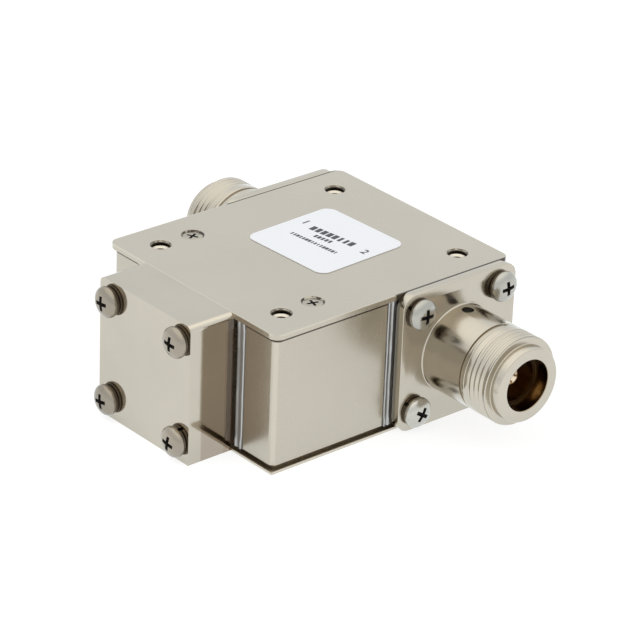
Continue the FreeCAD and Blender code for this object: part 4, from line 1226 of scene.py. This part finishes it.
def flush_screw():
    """A countersunk screw, sunk a little, with a small worn recess, axis along X."""
    top = -FLUSH_SUNK
    profile = [(top, 0.0), (top, FLUSH_HEAD - EASE), (top - FLUSH_EDGE, FLUSH_HEAD - FLUSH_EDGE)]
    profile += [(top - EASE, FLUSH_HEAD), (-FLUSH_CONE_END, FLUSH_SHANK)]
    profile += [(-FLUSH_END, FLUSH_SHANK), (-FLUSH_END, 0.0)]
    cutter = cross_cutter(top, *FLUSH_CROSS)
    return cut_recess("flush_screw", lathe(profile, 48, False), cutter, FLUSH_RIM_EASE, flush_finish)


def add_cover_screws():
    template = flush_screw()
    copies = []
    for (x, y), turn in zip(FLUSH_PLACES, FLUSH_TURNS):
        mesh = template.data.copy()
        upright = Matrix.Rotation(-math.pi / 2, 4, "Y") @ Matrix.Rotation(math.radians(turn), 4, "X")
        mesh.transform(Matrix.Translation((x, y, CASE_TOP)) @ upright)
        copies.append(mesh)
    bpy.data.objects.remove(template)
    mesh = join_meshes("cover_screw_pair", copies, 0.0)
    smooth(mesh)
    hand_over(as_object("cover_screw_pair", mesh), "flush_screw_steel", "cover_screws")


eased_copy("load_block", "load_nickel", block_finish, 0.05 * MM)
add_cover_screws()
print("load block eased, flush screws placed")

# %% [markdown]
# The label is a white film with rounded corners. Its print is generic: the two port numbers, and rows of short
# marks where the real label has words. Each row is grown by Geometry Nodes from a line of points.
# %% Label
LABEL_TURN = math.radians(2.4)
LABEL_TOP = 25.52 * MM
INK_THICK = 0.006 * MM
FIGURE_HEIGHT = 2.3 * MM
FIGURE_BOLD = 0.05 * MM
FIGURE_PLACES = {"1": (-8.3, 6.2), "2": (6.7, 6.6)}
ROWS = (
    {"start": (-5.6, 5.7), "stop": (4.3, 7.0), "count": 8, "height": 1.6, "seed": 3},
    {"start": (-3.0, 4.0), "stop": (1.0, 4.6), "count": 5, "height": 1.0, "seed": 5},
    {"start": (-6.3, 1.5), "stop": (4.7, 2.5), "count": 16, "height": 0.85, "seed": 8},
)


def on_label(mesh, spot, turn):
    """Lays a flat mesh on the label at a spot given in millimetres from the middle of the case."""
    lift = Matrix.Translation((spot[0] * MM, spot[1] * MM, LABEL_TOP))
    mesh.transform(lift @ Matrix.Rotation(turn, 4, "Z"))
    return mesh


def figure_mesh(figure):
    """A printed figure as a thin solid, centred on its own middle."""
    text = set_up(bpy.data.curves.new("figure", "FONT"), body=figure, size=FIGURE_HEIGHT, align_x="CENTER",
                  align_y="CENTER", extrude=INK_THICK, offset=FIGURE_BOLD)
    return worked_mesh(link("figure", text))


def row_recipe():
    """A row of short printed marks of uneven length."""
    recipe = Recipe("printed_row", Count="Int", Length="Float", Height="Float", Seed="Int", Ink="Material")
    step = recipe.size("Length") / recipe.size("Count")
    inputs = {"Count": recipe.size("Count"), "Offset": recipe.vector(X=step)}
    line = recipe.wire("GeometryNodeMeshLine", inputs, mode="OFFSET")
    mark_size = recipe.vector(X=step * 0.86, Y=recipe.size("Height"), Z=INK_THICK)
    mark = recipe.wire("GeometryNodeMeshCube", {"Size": mark_size})
    stretch = recipe.vector(X=recipe.chance(0.45, 1.0), Y=1.0, Z=1.0)
    copies = recipe.wire("GeometryNodeInstanceOnPoints", {"Points": line, "Instance": mark, "Scale": stretch})
    recipe.paint_result(copies, recipe.size("Ink"))
    return recipe


def add_print():
    """The port numbers and three rows of marks, as one thin piece of ink."""
    recipe = row_recipe()
    parts = [on_label(figure_mesh(figure), spot, LABEL_TURN) for figure, spot in FIGURE_PLACES.items()]
    for row in ROWS:
        reach = Vector(row["stop"]) - Vector(row["start"])
        length, height = reach.length * MM, row["height"] * MM
        mesh = recipe.grow("row", Count=row["count"], Length=length, Height=height, Seed=row["seed"], Ink=ink_finish)
        parts.append(on_label(mesh, row["start"], math.atan2(reach.y, reach.x)))
    mesh = join_meshes("label_print", parts, 0.0)
    hand_over(as_object("label_print", mesh, ink_finish), "label_film")
    return mesh


eased_copy("label", "label_film", label_finish, 0.03 * MM)
print("print faces:", len(add_print().polygons))

# %% [markdown]
# The contact is a gold plated spring tube, slotted so that it grips the pin of the other connector. In the
# photograph its tip shows just inside the mouth, so a merged copy of each contact has its front drawn forward
# a little.
# %% Contacts
TIP_FROM = 34.0 * MM
TIP_REACH = 0.65 * MM


def add_contact(port):
    """A contact whose slotted front reaches a little nearer the mouth."""
    node = f"port_{port}_contact"
    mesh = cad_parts[node].data.copy()
    shape = merged(mesh)
    for vert in shape.verts:
        if abs(vert.co.x) > TIP_FROM:
            vert.co.x += math.copysign(TIP_REACH, vert.co.x)
    write_shape(shape, mesh)
    smooth(mesh, 30)
    hand_over(as_object(f"port_{port}_spring_contact", mesh, gold_finish), "contact_gold", node)
    return mesh


for port in PORTS:
    print("contact faces:", len(add_contact(port).polygons))

# %% [markdown]
# The CAD pieces whose shape is already right keep it and only get a finish. Most of them are hidden inside, but
# the finish goes with the model when someone takes it apart.
# %% Finishes on the carried over pieces
FINISHES = {
    "housing": housing_finish, "base_screws": plate_finish, "centre_conductor": silver_finish,
    "load_chip": ceramic_finish, "load_chip_cover": ceramic_finish, "lower_shim_disc": steel_finish,
}
IN_PORTS = {"insulator": bead_finish, "epoxy_plug": epoxy_finish}
IN_STACKS = {
    "ferrite": ferrite_finish, "dielectric_ring": ceramic_finish, "ground_disc": silver_finish,
    "pole_disc": steel_finish, "magnet": ferrite_finish,
}
for places, pieces in ((("port_1", "port_2"), IN_PORTS), (("upper", "lower"), IN_STACKS)):
    for place in places:
        FINISHES.update({f"{place}_{piece}": finish for piece, finish in pieces.items()})
for node, finish in FINISHES.items():
    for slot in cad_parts[node].material_slots:
        slot.material = finish
print("finished nodes:", len(FINISHES))
